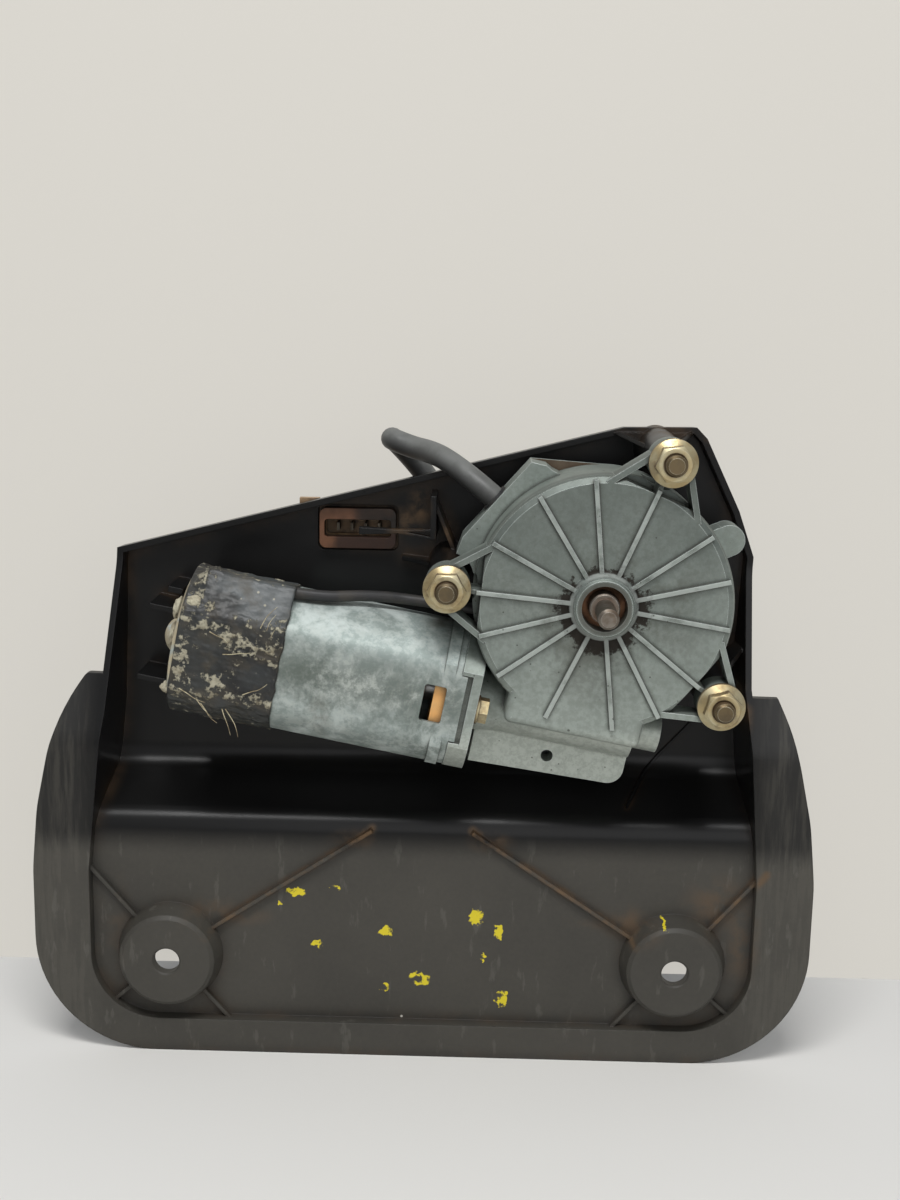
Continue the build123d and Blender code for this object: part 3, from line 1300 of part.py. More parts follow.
def make_connector_housing():
    face = Pos(WINDOW_X, WINDOW_Z) * RectangleRounded(CONN_W, CONN_H, WINDOW_R)
    body = slab(face, CONN_FRONT_Y, CONN_BACK_Y)
    mouth = Pos(WINDOW_X, WINDOW_Z) * RectangleRounded(CONN_MOUTH_W, CONN_MOUTH_H, WINDOW_R / 2)
    body -= slab(mouth, CONN_FRONT_Y, CONN_FLOOR_Y)
    collar = Pos(WINDOW_X, WINDOW_Z) * RectangleRounded(WINDOW_W + CONN_WALL * 2, WINDOW_H + CONN_WALL, WINDOW_R)
    back = PANEL_Y + SHEET
    body += slab(collar - mouth, back, back + CONN_WALL)
    tab_x = WINDOW_X - WINDOW_W / 2 - CONN_TAB_W / 2
    tab_low = WINDOW_Z - CONN_H / 4
    tab = Pos(tab_x, (tab_low + CONN_TAB_TOP_Z) / 2) * Rectangle(CONN_TAB_W, CONN_TAB_TOP_Z - tab_low)
    body += slab(tab, back + CONN_WALL / 2, back + CONN_WALL * 2)
    foot = sleeve_points()[-1]
    boot = Plane(origin=(WINDOW_X + CONN_W / 2, foot[1], foot[2]), z_dir=(1, 0, 0)) * Circle(CONN_BOOT_R)
    body += extrude(boot, amount=CONN_BOOT_UP)
    return body - make_harness_sleeve()


def make_connector_terminals():
    blades = []
    for number in range(TERMINALS):
        x = WINDOW_X + (number - (TERMINALS - 1) / 2) * TERMINAL_PITCH
        face = Pos(x, WINDOW_Z) * Rectangle(TERMINAL_W, TERMINAL_W * 3)
        blades.append(slab(face, TERMINAL_FRONT_Y, CONN_FLOOR_Y))
    return Compound(children=blades)


export_step(make_bracket(), "parts/bracket.step")
export_step(make_housing_bolts(), "parts/housing_bolts.step")
export_step(make_flange_nuts(), "parts/flange_nuts.step")
export_step(make_gear_housing(), "parts/gear_housing.step")
export_step(make_cover_gasket(), "parts/cover_gasket.step")
export_step(make_housing_cover(), "parts/housing_cover.step")
export_step(make_cover_screws(), "parts/cover_screws.step")
export_step(make_output_shaft(), "parts/output_shaft.step")
export_step(make_shaft_bush(), "parts/shaft_bush.step")
export_step(make_shaft_seal(), "parts/shaft_seal.step")
export_step(make_thrust_washer(), "parts/thrust_washer.step")
export_step(make_wheel_hub(), "parts/wheel_hub.step")
export_step(make_worm_wheel(), "parts/worm_wheel.step")
export_step(make_park_disc(), "parts/park_disc.step")
export_step(make_contact_plate(), "parts/contact_plate.step")
export_step(make_contact_fingers(), "parts/contact_fingers.step")
export_step(make_motor_can(), "parts/motor_can.step")
export_step(make_can_screws(), "parts/can_screws.step")
export_step(make_field_magnets(), "parts/field_magnets.step")
export_step(make_magnet_clips(), "parts/magnet_clips.step")
export_step(make_armature_shaft(), "parts/armature_shaft.step")
export_step(make_armature_core(), "parts/armature_core.step")
export_step(make_armature_windings(), "parts/armature_windings.step")
export_step(make_commutator_core(), "parts/commutator_core.step")
export_step(make_commutator_bars(), "parts/commutator_bars.step")
export_step(make_thrust_ball(), "parts/thrust_ball.step")
export_step(make_thrust_plug(), "parts/thrust_plug.step")
export_step(make_rear_bearing(), "parts/rear_bearing.step")
export_step(make_bearing_clip(), "parts/bearing_clip.step")
export_step(make_front_bearing(), "parts/front_bearing.step")
export_step(make_brush_card(), "parts/brush_card.step")
export_step(make_brush_holders(), "parts/brush_holders.step")
export_step(make_brushes(), "parts/brushes.step")
export_step(make_brush_springs(), "parts/brush_springs.step")
export_step(make_motor_lead(), "parts/motor_lead.step")
export_step(make_tape_wrap(), "parts/tape_wrap.step")
export_step(make_harness_sleeve(), "parts/harness_sleeve.step")
export_step(make_lead_grommet(), "parts/lead_grommet.step")
export_step(make_connector_housing(), "parts/connector_housing.step")
export_step(make_connector_terminals(), "parts/connector_terminals.step")
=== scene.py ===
import math
import random

import bmesh
import bpy
from mathutils import Matrix, Vector, noise


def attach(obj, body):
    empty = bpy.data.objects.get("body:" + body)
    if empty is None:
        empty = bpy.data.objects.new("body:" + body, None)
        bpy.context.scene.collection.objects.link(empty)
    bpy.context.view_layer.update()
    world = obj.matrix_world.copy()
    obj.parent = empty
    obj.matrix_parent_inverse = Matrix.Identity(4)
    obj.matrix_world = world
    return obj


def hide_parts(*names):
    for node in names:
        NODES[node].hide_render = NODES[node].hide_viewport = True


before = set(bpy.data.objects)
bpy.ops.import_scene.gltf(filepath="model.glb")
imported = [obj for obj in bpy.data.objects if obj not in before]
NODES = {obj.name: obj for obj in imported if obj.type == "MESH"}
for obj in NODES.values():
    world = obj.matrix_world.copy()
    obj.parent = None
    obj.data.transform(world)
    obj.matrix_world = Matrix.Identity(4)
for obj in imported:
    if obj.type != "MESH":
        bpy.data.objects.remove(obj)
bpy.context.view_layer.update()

MM = 0.001
BODY = "frame"


# The camera, as it stood for the photograph.

CAMERA_AT = Vector((-36.617, -426.721, 87.338)) * MM
CAMERA_RIGHT = Vector((0.999598, 0.022874, 0.016775))
CAMERA_AHEAD = Vector((-0.019136, 0.980324, -0.196465))
LENS = 45.0
SENSOR = 36.0


def aimed(right, ahead, place):
    """The matrix of a camera or lamp that looks along ahead."""
    back = -ahead.normalized()
    up = back.cross(right).normalized()
    side = up.cross(back)
    turned = Matrix((side, up, back)).transposed().to_4x4()
    return Matrix.Translation(place) @ turned


def make_camera():
    data = bpy.data.cameras.new("view")
    data.lens = LENS
    data.sensor_width = SENSOR
    data.sensor_height = SENSOR
    data.sensor_fit = "AUTO"
    data.clip_start = 0.01
    data.clip_end = 20.0
    camera = bpy.data.objects.new("view", data)
    bpy.context.scene.collection.objects.link(camera)
    camera.matrix_world = aimed(CAMERA_RIGHT, CAMERA_AHEAD, CAMERA_AT)
    bpy.context.scene.camera = camera


make_camera()


# Places on the motor: x along its axis and z across it, from the point on its axis that is nearest to the
# output shaft.

CENTRES = 40.0
TILT = math.radians(10.9)
AXIS_Y = 25.0
AXIS_DIRECTION = (math.cos(TILT), 0.0, -math.sin(TILT))


def motor_place(x, y, z):
    """A place on the motor, in millimetres, as a place in the shared frame, in metres."""
    low = z - CENTRES
    return Vector((
        x * math.cos(TILT) + low * math.sin(TILT), y + AXIS_Y,
        low * math.cos(TILT) - x * math.sin(TILT))) * MM


class Paint:
    """One node material, built a node at a time. Places are in the shared frame, in metres."""

    def __init__(self, name, **fixed):
        self.material = bpy.data.materials.new(name)
        self.material.use_nodes = True
        self.tree = self.material.node_tree
        self.tree.nodes.clear()
        self.shader = self.node("ShaderNodeBsdfPrincipled")
        end = self.node("ShaderNodeOutputMaterial")
        self.tree.links.new(self.shader.outputs[0], end.inputs[0])
        self.place = self.node("ShaderNodeTexCoord").outputs["Object"]
        self.set(**fixed)

    def node(self, kind, **settings):
        made = self.tree.nodes.new(kind)
        for key, value in settings.items():
            setattr(made, key, value)
        return made

    def plug(self, socket, value):
        if isinstance(value, bpy.types.NodeSocket):
            self.tree.links.new(value, socket)
        elif isinstance(value, (tuple, list)) and len(socket.default_value) == 4:
            socket.default_value = (*value, 1.0)
        else:
            socket.default_value = value

    def set(self, **values):
        for key, value in values.items():
            self.plug(self.shader.inputs[key.replace("_", " ")], value)

    def math(self, operation, a, b=0.0, clamp=False):
        made = self.node("ShaderNodeMath", operation=operation, use_clamp=clamp)
        self.plug(made.inputs[0], a)
        self.plug(made.inputs[1], b)
        return made.outputs[0]

    def product(self, *values):
        total = values[0]
        for value in values[1:]:
            total = self.math("MULTIPLY", total, value)
        return total

    def total(self, *values):
        total = values[0]
        for value in values[1:]:
            total = self.math("ADD", total, value)
        return self.math("ADD", total, 0.0, clamp=True)

    def vector(self, operation, a, b=None, scale=None):
        made = self.node("ShaderNodeVectorMath", operation=operation)
        self.plug(made.inputs[0], a)
        if b is not None:
            self.plug(made.inputs[1], b)
        if scale is not None:
            self.plug(made.inputs["Scale"], scale)
        return made.outputs["Value" if operation in ("DOT_PRODUCT", "LENGTH", "DISTANCE") else "Vector"]

    def fade(self, value, start, end, low=0.0, high=1.0):
        """Goes smoothly from low at start to high at end."""
        made = self.node("ShaderNodeMapRange", interpolation_type="SMOOTHSTEP", clamp=True)
        if start > end:
            start, end, low, high = end, start, high, low
        for socket, item in zip(made.inputs, (value, start, end, low, high)):
            self.plug(socket, item)
        return made.outputs[0]

    def stretch(self, scale):
        made = self.node("ShaderNodeMapping")
        self.plug(made.inputs["Vector"], self.place)
        made.inputs["Scale"].default_value = scale
        return made.outputs[0]

    def noise(self, scale, detail=4.0, rough=0.55, place=None, bent=0.0):
        made = self.node("ShaderNodeTexNoise")
        self.plug(made.inputs["Vector"], place or self.place)
        for key, value in (("Scale", scale), ("Detail", detail), ("Roughness", rough), ("Distortion", bent)):
            made.inputs[key].default_value = value
        return made.outputs["Fac"]

    def patches(self, scale, start, end, detail=5.0, rough=0.6, place=None, bent=0.0):
        return self.fade(self.noise(scale, detail, rough, place, bent), start, end)

    def specks(self, scale, share, size):
        """Small round specks, in the given share of the cells."""
        made = self.node("ShaderNodeTexVoronoi")
        self.plug(made.inputs["Vector"], self.place)
        made.inputs["Scale"].default_value = scale
        chosen = self.node("ShaderNodeSeparateColor")
        self.plug(chosen.inputs[0], made.outputs["Color"])
        inside = self.fade(made.outputs["Distance"], size, size / 2)
        return self.product(inside, self.fade(chosen.outputs[0], 1 - share, 1 - share + 0.01))

    def mix(self, share, a, b):
        made = self.node("ShaderNodeMix", data_type="RGBA")
        self.plug(made.inputs["Factor"], share)
        self.plug(made.inputs[6], a)
        self.plug(made.inputs[7], b)
        return made.outputs[2]

    def layers(self, base, *coats):
        """Coats (share, colour) laid over base, one after another."""
        colour = base
        for share, coat in coats:
            colour = self.mix(share, colour, coat)
        return colour

    def blend(self, share, a, b):
        made = self.node("ShaderNodeMix", data_type="FLOAT")
        self.plug(made.inputs["Factor"], share)
        self.plug(made.inputs[2], a)
        self.plug(made.inputs[3], b)
        return made.outputs[0]

    def axes(self):
        made = self.node("ShaderNodeSeparateXYZ")
        self.plug(made.inputs[0], self.place)
        return made.outputs

    def facing(self):
        """Which way the surface looks, as x, y and z."""
        made = self.node("ShaderNodeSeparateXYZ")
        self.plug(made.inputs[0], self.node("ShaderNodeNewGeometry").outputs["Normal"])
        return made.outputs

    def along_motor(self):
        """The distance along the motor's axis, in metres."""
        return self.vector("DOT_PRODUCT", self.place, AXIS_DIRECTION)

    def flat_place(self):
        """The place with its depth left out."""
        return self.vector("MULTIPLY", self.place, (1.0, 0.0, 1.0))

    def near(self, points, place=None):
        """1 at the middle of each spot and 0 at its edge.

        A spot is x, z, half width and half height, in millimetres, and a share.
        """
        flat = place or self.flat_place()
        found = None
        for x, z, wide, tall, share in points:
            away = self.vector("SUBTRACT", flat, (x * MM, 0.0, z * MM))
            away = self.vector("MULTIPLY", away, (1 / (wide * MM), 0.0, 1 / (tall * MM)))
            here = self.math("MULTIPLY", self.fade(self.vector("LENGTH", away), 1.0, 0.0), share)
            found = here if found is None else self.math("MAXIMUM", found, here)
        return found

    def near_line(self, start, end, width):
        """1 on the line between two points (x, z), and 0 at width from it, in millimetres."""
        a = Vector((start[0], 0.0, start[1])) * MM
        run = Vector((end[0], 0.0, end[1])) * MM - a
        way = run.normalized()
        local = self.vector("SUBTRACT", self.flat_place(), tuple(a))
        done = self.math("MINIMUM", self.vector("DOT_PRODUCT", local, tuple(way)), run.length)
        foot = self.vector("SCALE", tuple(way), scale=self.math("MAXIMUM", done, 0.0))
        return self.fade(self.vector("DISTANCE", local, foot), width * MM, 0.0)

    def crease(self, reach, start=0.95, end=0.45):
        """1 deep in a corner, 0 in the open. reach is in millimetres."""
        made = self.node("ShaderNodeAmbientOcclusion", samples=6)
        made.inputs["Distance"].default_value = reach * MM
        return self.fade(made.outputs["AO"], start, end)

    def rounded(self, radius):
        """The normal with every edge softened. radius is in millimetres."""
        made = self.node("ShaderNodeBevel", samples=4)
        made.inputs["Radius"].default_value = radius * MM
        return made.outputs[0]

    def edges(self, normal):
        """1 on an edge, from a normal that rounded gave."""
        plain = self.node("ShaderNodeNewGeometry").outputs["Normal"]
        return self.fade(self.vector("DOT_PRODUCT", normal, plain), 0.985, 0.93)

    def bump(self, height, depth, strength=1.0, normal=None):
        """The normal over a height from 0 to 1. depth is in millimetres."""
        made = self.node("ShaderNodeBump")
        made.inputs["Strength"].default_value = strength
        made.inputs["Distance"].default_value = depth * MM
        self.plug(made.inputs["Height"], height)
        if normal is not None:
            self.plug(made.inputs["Normal"], normal)
        return made.outputs[0]


# Colours, as light: linear red, green and blue.

DUST = (0.128, 0.078, 0.040)
DRY_MUD = (0.430, 0.400, 0.290)
# The next colour serves as real grime and as painted shade in creases.
GRIME_AND_SHADE = (0.022, 0.018, 0.013)
RUST = (0.105, 0.050, 0.022)
YELLOW_PAINT = (0.620, 0.510, 0.020)
DRY_STRAW = (0.480, 0.430, 0.280)

# Spots on the bracket's front: x, z, half width and half height, in millimetres, and share.
DUSTY_SPOTS = (
    (-120.0, -108.0, 12.0, 8.0, 0.5), (14.0, -108.0, 13.0, 8.0, 0.55), (-113.0, -108.5, 16.0, 5.0, 0.4),
    (6.0, -107.0, 16.0, 5.0, 0.4), (42.0, -101.0, 15.0, 13.0, 0.5), (50.0, -112.0, 7.0, 22.0, 0.45),
    (-151.0, -112.0, 7.0, 22.0, 0.2), (21.0, 50.0, 14.0, 5.0, 0.5), (34.0, 47.0, 7.0, 8.0, 0.35),
    (-56.0, 22.5, 5.5, 8.5, 0.85), (-61.0, 18.0, 6.5, 5.5, 0.6), (-47.0, 15.5, 4.5, 7.0, 0.6),
    (47.0, -38.0, 4.0, 12.0, 0.6), (-75.0, -82.0, 10.0, 5.0, 0.4), (-31.0, -82.0, 10.0, 5.0, 0.4),
)
PAINT_SPOTS = (
    (-93.3, -100.1, 4.2, 1.9, 1.0), (-86.4, -117.7, 3.0, 1.9, 1.0), (-64.4, -113.0, 2.6, 2.2, 1.0),
    (-53.1, -129.0, 4.2, 2.9, 1.0), (-64.4, -132.3, 2.2, 1.6, 1.0), (-35.4, -107.4, 2.6, 4.0, 1.0),
    (-28.0, -111.9, 1.9, 3.6, 1.0), (-32.8, -120.8, 2.2, 1.4, 1.0), (-26.8, -135.1, 1.9, 4.0, 1.0),
    (24.5, -106.2, 0.9, 2.0, 1.0), (-98.5, -103.5, 1.6, 1.3, 0.9), (-80.5, -98.0, 2.2, 1.0, 0.9),
)
LONG_RIBS = (
    ((-121.5, -113.1), (-69.0, -78.3)), ((15.5, -113.1), (-37.0, -78.3)), ((40.0, -108.0), (56.0, -89.0)),
)
RIB_DUST_W = 2.2
RIB_DUST_SHARE = 0.8

# Where looks change on the bracket, in metres: the lower plate's top, and how far from the middle the
# flange's ends lie.
PLATE_TOP = (-0.079, -0.089)
MIDDLE_X = -0.053
FLANGE_ENDS = (0.101, 0.112)
PAINT_RAGGED = 0.0065


def front_dust(p):
    """Dust on the bracket's front: in spots and along the long ribs."""
    dust = p.near(DUSTY_SPOTS)
    for start, end in LONG_RIBS:
        on_rib = p.math("MULTIPLY", p.near_line(start, end, RIB_DUST_W), RIB_DUST_SHARE)
        dust = p.math("MAXIMUM", dust, on_rib)
    return dust


def paint_spots(p):
    """Splashes with ragged edges, from spots whose places are shaken by noise."""
    shaken = p.node("ShaderNodeTexNoise")
    p.plug(shaken.inputs["Vector"], p.place)
    shaken.inputs["Scale"].default_value = 420.0
    shaken.inputs["Detail"].default_value = 3.0
    moved = p.vector("SUBTRACT", shaken.outputs["Color"], (0.5, 0.5, 0.5))
    moved = p.vector("ADD", p.flat_place(), p.vector("SCALE", moved, scale=PAINT_RAGGED))
    moved = p.vector("MULTIPLY", moved, (1.0, 0.0, 1.0))
    return p.product(p.fade(p.near(PAINT_SPOTS, moved), 0.10, 0.30), p.patches(300.0, 0.40, 0.48))


def bracket_plastic():
    """Glossy black above, a dusty film on the lower plate, scratched at the flange's ends, with dust and
    painted shade in its corners.
    """
    p = Paint("bracket_plastic")
    x, _, z = p.axes()
    cloud = p.noise(28.0, 6.0)
    fine = p.noise(700.0, 3.0)
    corner = p.crease(5.0)
    low = p.fade(z, *PLATE_TOP)
    flange = p.fade(p.math("ABSOLUTE", p.math("ADD", x, -MIDDLE_X)), *FLANGE_ENDS)
    scratched = p.patches(60.0, 0.42, 0.66, place=p.stretch((9.0, 1.0, 0.8)))
    film = p.total(
        p.product(low, p.blend(cloud, 0.40, 1.0)), p.product(flange, p.blend(scratched, 0.10, 0.45)), 0.02)
    forward = p.fade(p.facing()[1], 0.30, 0.05)
    dusty = p.total(
        p.product(front_dust(p), forward, p.patches(120.0, 0.36, 0.62)),
        p.product(corner, p.patches(70.0, 0.4, 0.7), 0.4))
    paint = p.product(forward, paint_spots(p))
    white = p.product(p.specks(85.0, 0.05, 0.05), low)
    scuffs = p.product(p.patches(240.0, 0.60, 0.68, place=p.stretch((1.0, 1.0, 0.25))), low, 0.35)
    p.set(
        Base_Color=p.layers(
            (0.0048, 0.0048, 0.0050), (film, (0.056, 0.052, 0.043)),
            (p.product(film, fine, 0.35), (0.086, 0.079, 0.063)), (scuffs, (0.110, 0.105, 0.090)),
            # Painted shade: near-black deep in the corners.
            (dusty, DUST), (p.product(corner, 0.5), (0.008, 0.006, 0.005)),
            (white, (0.5, 0.48, 0.42)), (paint, YELLOW_PAINT)),
        Specular_IOR_Level=p.total(p.blend(low, 0.20, 0.38), p.product(flange, 0.12)),
        Roughness=p.total(
            p.blend(low, 0.24, 0.52), p.product(flange, 0.2), p.product(cloud, 0.1), p.product(dusty, 0.3)),
        Normal=p.bump(
            p.total(p.product(fine, low), p.product(scratched, flange, 0.6)), 0.05, 0.5, p.rounded(0.5)))
    return p.material


# Where looks change on the casting, in metres: radii about the shaft, depths y and heights z.
RING_EDGE_R = (0.0088, 0.0094)
RING_INSIDE_R = (0.0084, 0.0074)
GRIME_R = (0.0200, 0.0095)
SMEAR_R = (0.038, 0.012)
RIB_TOP_Y = (0.0037, 0.0031)
SHADE_Y = (0.014, 0.009)
SHADE_Z = (-0.034, 0.034)
LOW_FACE_Z = (-0.012, -0.034)
FOOT_Z = (-0.036, -0.044)


def cast_alloy():
    """Grey-green casting, with painted shade darkening the top of its face, lighter towards its foot, and
    grimy round the boss ring.
    """
    p = Paint("cast_alloy", Metallic=0.5)
    _, y, z = p.axes()
    normal = p.rounded(0.35)
    cloud = p.patches(45.0, 0.32, 0.70, 6.0, 0.65)
    grain = p.noise(1500.0, 2.0)
    round_boss = p.vector("LENGTH", p.flat_place())
    outside = p.fade(round_boss, *RING_EDGE_R)
    close = p.product(p.fade(round_boss, *GRIME_R), p.blend(p.patches(110.0, 0.35, 0.60), 0.35, 0.85))
    grimy = p.product(outside, p.fade(p.math("ADD", close, p.noise(620.0, 5.0, 0.7)), 0.88, 1.08))
    mottled = p.patches(560.0, 0.40, 0.60, 5.0, 0.7)
    inner_ring = p.fade(round_boss, *RING_INSIDE_R)
    smeared = p.product(outside, p.fade(round_boss, *SMEAR_R), p.patches(70.0, 0.44, 0.70), 0.65)
    # corner marks the creases: painted shade goes there, and the lighter edges stay out of them.
    corner = p.crease(1.6, 0.92, 0.55)
    pits = p.total(p.specks(230.0, 0.14, 0.12), p.specks(480.0, 0.10, 0.16))
    edge = p.product(p.edges(normal), p.fade(corner, 0.4, 0.0), 0.75)
    # Rib tops lighter: wear and a painted highlight.
    ribs = p.product(outside, p.fade(y, *RIB_TOP_Y), p.patches(110.0, 0.30, 0.55))
    foot = p.fade(z, *FOOT_Z)
    low_face = p.fade(z, *LOW_FACE_Z)
    shade = p.product(p.fade(z, *SHADE_Z), p.fade(y, *SHADE_Y), 0.45)
    p.set(
        Base_Color=p.layers(
            (0.168, 0.196, 0.176), (cloud, (0.250, 0.283, 0.257)),
            (p.product(grain, 0.35), (0.330, 0.365, 0.330)), (p.product(foot, 0.75), (0.500, 0.530, 0.475)),
            (p.product(low_face, 0.3), (0.400, 0.440, 0.400)),
            (p.product(mottled, 0.28), (0.120, 0.135, 0.112)), (shade, (0.030, 0.036, 0.032)),
            (edge, (0.640, 0.690, 0.660)), (smeared, (0.070, 0.070, 0.055)),
            # Painted shade in the creases, real grime round the boss ring, and rib tops lighter with wear
            # and a painted highlight.
            (p.product(corner, 0.7), GRIME_AND_SHADE), (grimy, GRIME_AND_SHADE), (p.product(ribs, 0.6), (0.430, 0.465, 0.435)),
            (p.product(inner_ring, 0.6), (0.060, 0.052, 0.040)),
            (p.product(pits, 0.75), (0.045, 0.045, 0.036))),
        Roughness=p.total(p.blend(cloud, 0.46, 0.56), p.product(grimy, 0.2)),
        Normal=p.bump(grain, 0.05, 0.5, normal))
    return p.material


# Places on the can: its front flat, where painted shade darkens it, and the smudges in millimetres, and the
# mud on its end in metres.
CAN_FRONT_SHADE = ((-96.0, -21.0), (-45.0, -31.0), 17.0)
CAN_SMUDGES = ((-46.0, -8.0, 9.0, 6.0, 1.0), (-37.0, -57.0, 5.0, 5.0, 0.7), (-84.0, -36.0, 6.0, 9.0, 0.6))
CAN_END_MUD = (-0.1185, -0.1205)


def zinc_steel():
    """Zinc plate, blotched white and blue-grey, with painted shade on the can's front flat and in its
    corners.
    """
    p = Paint("zinc_steel")
    normal = p.rounded(0.35)
    blots = p.patches(75.0, 0.45, 0.62, 9.0, 0.72, bent=0.3)
    fine = p.patches(330.0, 0.43, 0.60, 6.0, 0.7)
    dark = p.patches(34.0, 0.44, 0.68, 5.0)
    front = p.near_line(*CAN_FRONT_SHADE)
    mud = p.product(p.fade(p.along_motor(), *CAN_END_MUD), p.patches(260.0, 0.30, 0.50))
    smudge = p.product(p.near(CAN_SMUDGES), p.patches(120.0, 0.35, 0.60))
    corner = p.crease(1.5, 0.92, 0.5)
    p.set(
        Base_Color=p.layers(
            (0.270, 0.318, 0.300), (p.product(dark, 0.6), (0.120, 0.146, 0.128)),
            (p.product(blots, 0.8), (0.560, 0.615, 0.590)), (p.product(fine, 0.45), (0.480, 0.520, 0.492)),
            # Painted shade: a darker band along the can's front flat.
            (p.product(front, 0.68), (0.072, 0.086, 0.068)),
            (p.product(front, blots, fine, 0.7), (0.460, 0.490, 0.450)),
            # Painted shade in the corners.
            (p.product(smudge, 0.75), (0.10, 0.075, 0.045)), (p.product(corner, 0.65), GRIME_AND_SHADE),
            (mud, (0.36, 0.31, 0.21))),
        Metallic=p.fade(mud, 0.0, 1.0, 0.38, 0.0),
        Roughness=p.total(p.blend(blots, 0.52, 0.68), p.product(mud, 0.3)),
        Normal=p.bump(p.total(p.product(fine, 0.5), p.product(mud, fine)), 0.06, 0.35, normal))
    return p.material


def plated_gold(name, colour, pale_colour, dirt_share):
    """Yellow zinc plate, clean on the faces towards the front, brown and dirty on the sides."""
    p = Paint(name)
    normal = p.rounded(0.25)
    side = p.fade(p.math("ABSOLUTE", p.facing()[1]), 0.75, 0.35)
    dirt = p.total(
        p.product(p.crease(1.5, 0.9, 0.5), 0.8), p.product(p.patches(210.0, 0.50, 0.70), dirt_share),
        p.product(side, p.patches(170.0, 0.30, 0.62), 0.75))
    pale = p.patches(130.0, 0.40, 0.65)
    p.set(
        Base_Color=p.layers(
            colour, (pale, pale_colour), (p.product(p.edges(normal), 0.5), (0.74, 0.70, 0.54)),
            (dirt, (0.085, 0.050, 0.022))),
        Metallic=p.fade(dirt, 0.0, 1.0, 0.85, 0.2),
        Roughness=p.total(p.blend(pale, 0.36, 0.46), p.product(dirt, 0.35)),
        Normal=normal)
    return p.material


def metal(name, colour, other, rough, dirt_share, metallic=0.9):
    """Bare metal in two tones, with turning marks, bright edges and rust in its corners."""
    p = Paint(name)
    normal = p.rounded(0.2)
    cloud = p.patches(200.0, 0.38, 0.64, 6.0)
    dirt = p.total(p.product(p.crease(1.2), 0.7), p.product(p.patches(140.0, 0.5, 0.72), dirt_share))
    turned = p.noise(90.0, 3.0, place=p.stretch((0.2, 9.0, 0.2)))
    p.set(
        Base_Color=p.layers(
            colour, (cloud, other), (p.product(p.edges(normal), 0.4), (0.72, 0.70, 0.66)), (dirt, RUST)),
        Metallic=p.fade(dirt, 0.0, 1.0, metallic, 0.1),
        Roughness=p.total(p.blend(cloud, rough, rough + 0.14), p.product(dirt, 0.3)),
        Normal=p.bump(turned, 0.05, 0.3, normal))
    return p.material


def moulded(name, colour, other, rough, dirt_share):
    """Plastic, paper or a sintered piece in two tones, dirty in its corners."""
    p = Paint(name, Specular_IOR_Level=0.4)
    normal = p.rounded(0.25)
    cloud = p.patches(90.0, 0.35, 0.65, 6.0)
    dirt = p.total(p.product(p.crease(2.5), 0.6), p.product(p.patches(180.0, 0.48, 0.70), dirt_share))
    fine = p.noise(1260.0, 3.0)
    p.set(
        Base_Color=p.layers(colour, (cloud, other), (dirt, (0.055, 0.035, 0.020))),
        Roughness=p.total(p.blend(cloud, rough, rough + 0.12), p.product(dirt, 0.2)),
        Normal=p.bump(fine, 0.04, 0.4, normal))
    return p.material


# Where looks change on the connector, in metres.
PALE_LEFT_X = (-0.0815, -0.0845)
PALE_TOP_X = (-0.0740, -0.0790)
PALE_TOP_Z = (0.0172, 0.0182)
BLACK_X = (-0.0775, -0.0720)
BLACK_Z = (0.0125, 0.0150)
MOUTH_SHADE_Y = (0.0478, 0.0500)
REAR_BODY_Y = (0.0520, 0.0530)


def connector_plastic():
    """Brown, paler at the mouth's left end, nearly black at its top right, with painted shade deep in its
    mouth and dirt inside.
    """
    p = Paint("brown_plastic", Specular_IOR_Level=0.3)
    x, y, z = p.axes()
    normal = p.rounded(0.25)
    pale = p.total(p.fade(x, *PALE_LEFT_X), p.product(p.fade(z, *PALE_TOP_Z), p.fade(x, *PALE_TOP_X), 0.8))
    black = p.product(p.fade(x, *BLACK_X), p.fade(z, *BLACK_Z))
    cloud = p.patches(160.0, 0.35, 0.65)
    back = p.fade(y, *REAR_BODY_Y)
    # Painted shade: the mouth darker deep inside.
    deep = p.fade(y, *MOUTH_SHADE_Y)
    dirt = p.total(p.product(p.crease(3.0), 0.7), p.product(p.patches(240.0, 0.45, 0.70), 0.4))
    p.set(
        Base_Color=p.layers(
            (0.024, 0.0105, 0.0065), (pale, (0.135, 0.060, 0.030)), (black, (0.010, 0.007, 0.005)),
            (p.product(deep, 0.9), (0.011, 0.006, 0.004)), (back, (0.430, 0.290, 0.170)),
            (p.product(cloud, 0.25), (0.060, 0.028, 0.016)), (dirt, (0.016, 0.010, 0.006))),
        Roughness=p.blend(cloud, 0.42, 0.56), Normal=normal)
    return p.material


def soft_black(name, rough, dirt_share):
    """Black rubber or sheathing with dry dirt on it."""
    p = Paint(name, Specular_IOR_Level=0.4)
    dirt = p.product(p.patches(110.0, 0.42, 0.72, 6.0), dirt_share)
    fine = p.noise(990.0, 3.0)
    p.set(
        Base_Color=p.layers(
            (0.0140, 0.0140, 0.0150), (dirt, (0.110, 0.090, 0.062)),
            (p.product(fine, 0.25), (0.045, 0.045, 0.046))),
        Roughness=p.total(rough, p.product(dirt, 0.5)), Normal=p.bump(fine, 0.05, 0.35))
    return p.material


def dusty_lit_tube():
    """Flexible tubing, grey on its upper side from dust and painted light."""
    p = Paint("sleeve_black", Specular_IOR_Level=0.35)
    # Dust and painted light: grey on the upper side.
    upper = p.fade(p.facing()[2], -0.35, 0.75)
    cloud = p.patches(90.0, 0.32, 0.62)
    fine = p.noise(900.0, 3.0)
    p.set(
        Base_Color=p.layers(
            (0.022, 0.022, 0.022), (p.product(upper, p.blend(cloud, 0.45, 0.85)), (0.165, 0.170, 0.162)),
            (p.product(fine, 0.2), (0.085, 0.083, 0.075))),
        Roughness=p.blend(cloud, 0.40, 0.52), Normal=p.bump(fine, 0.04, 0.3))
    return p.material


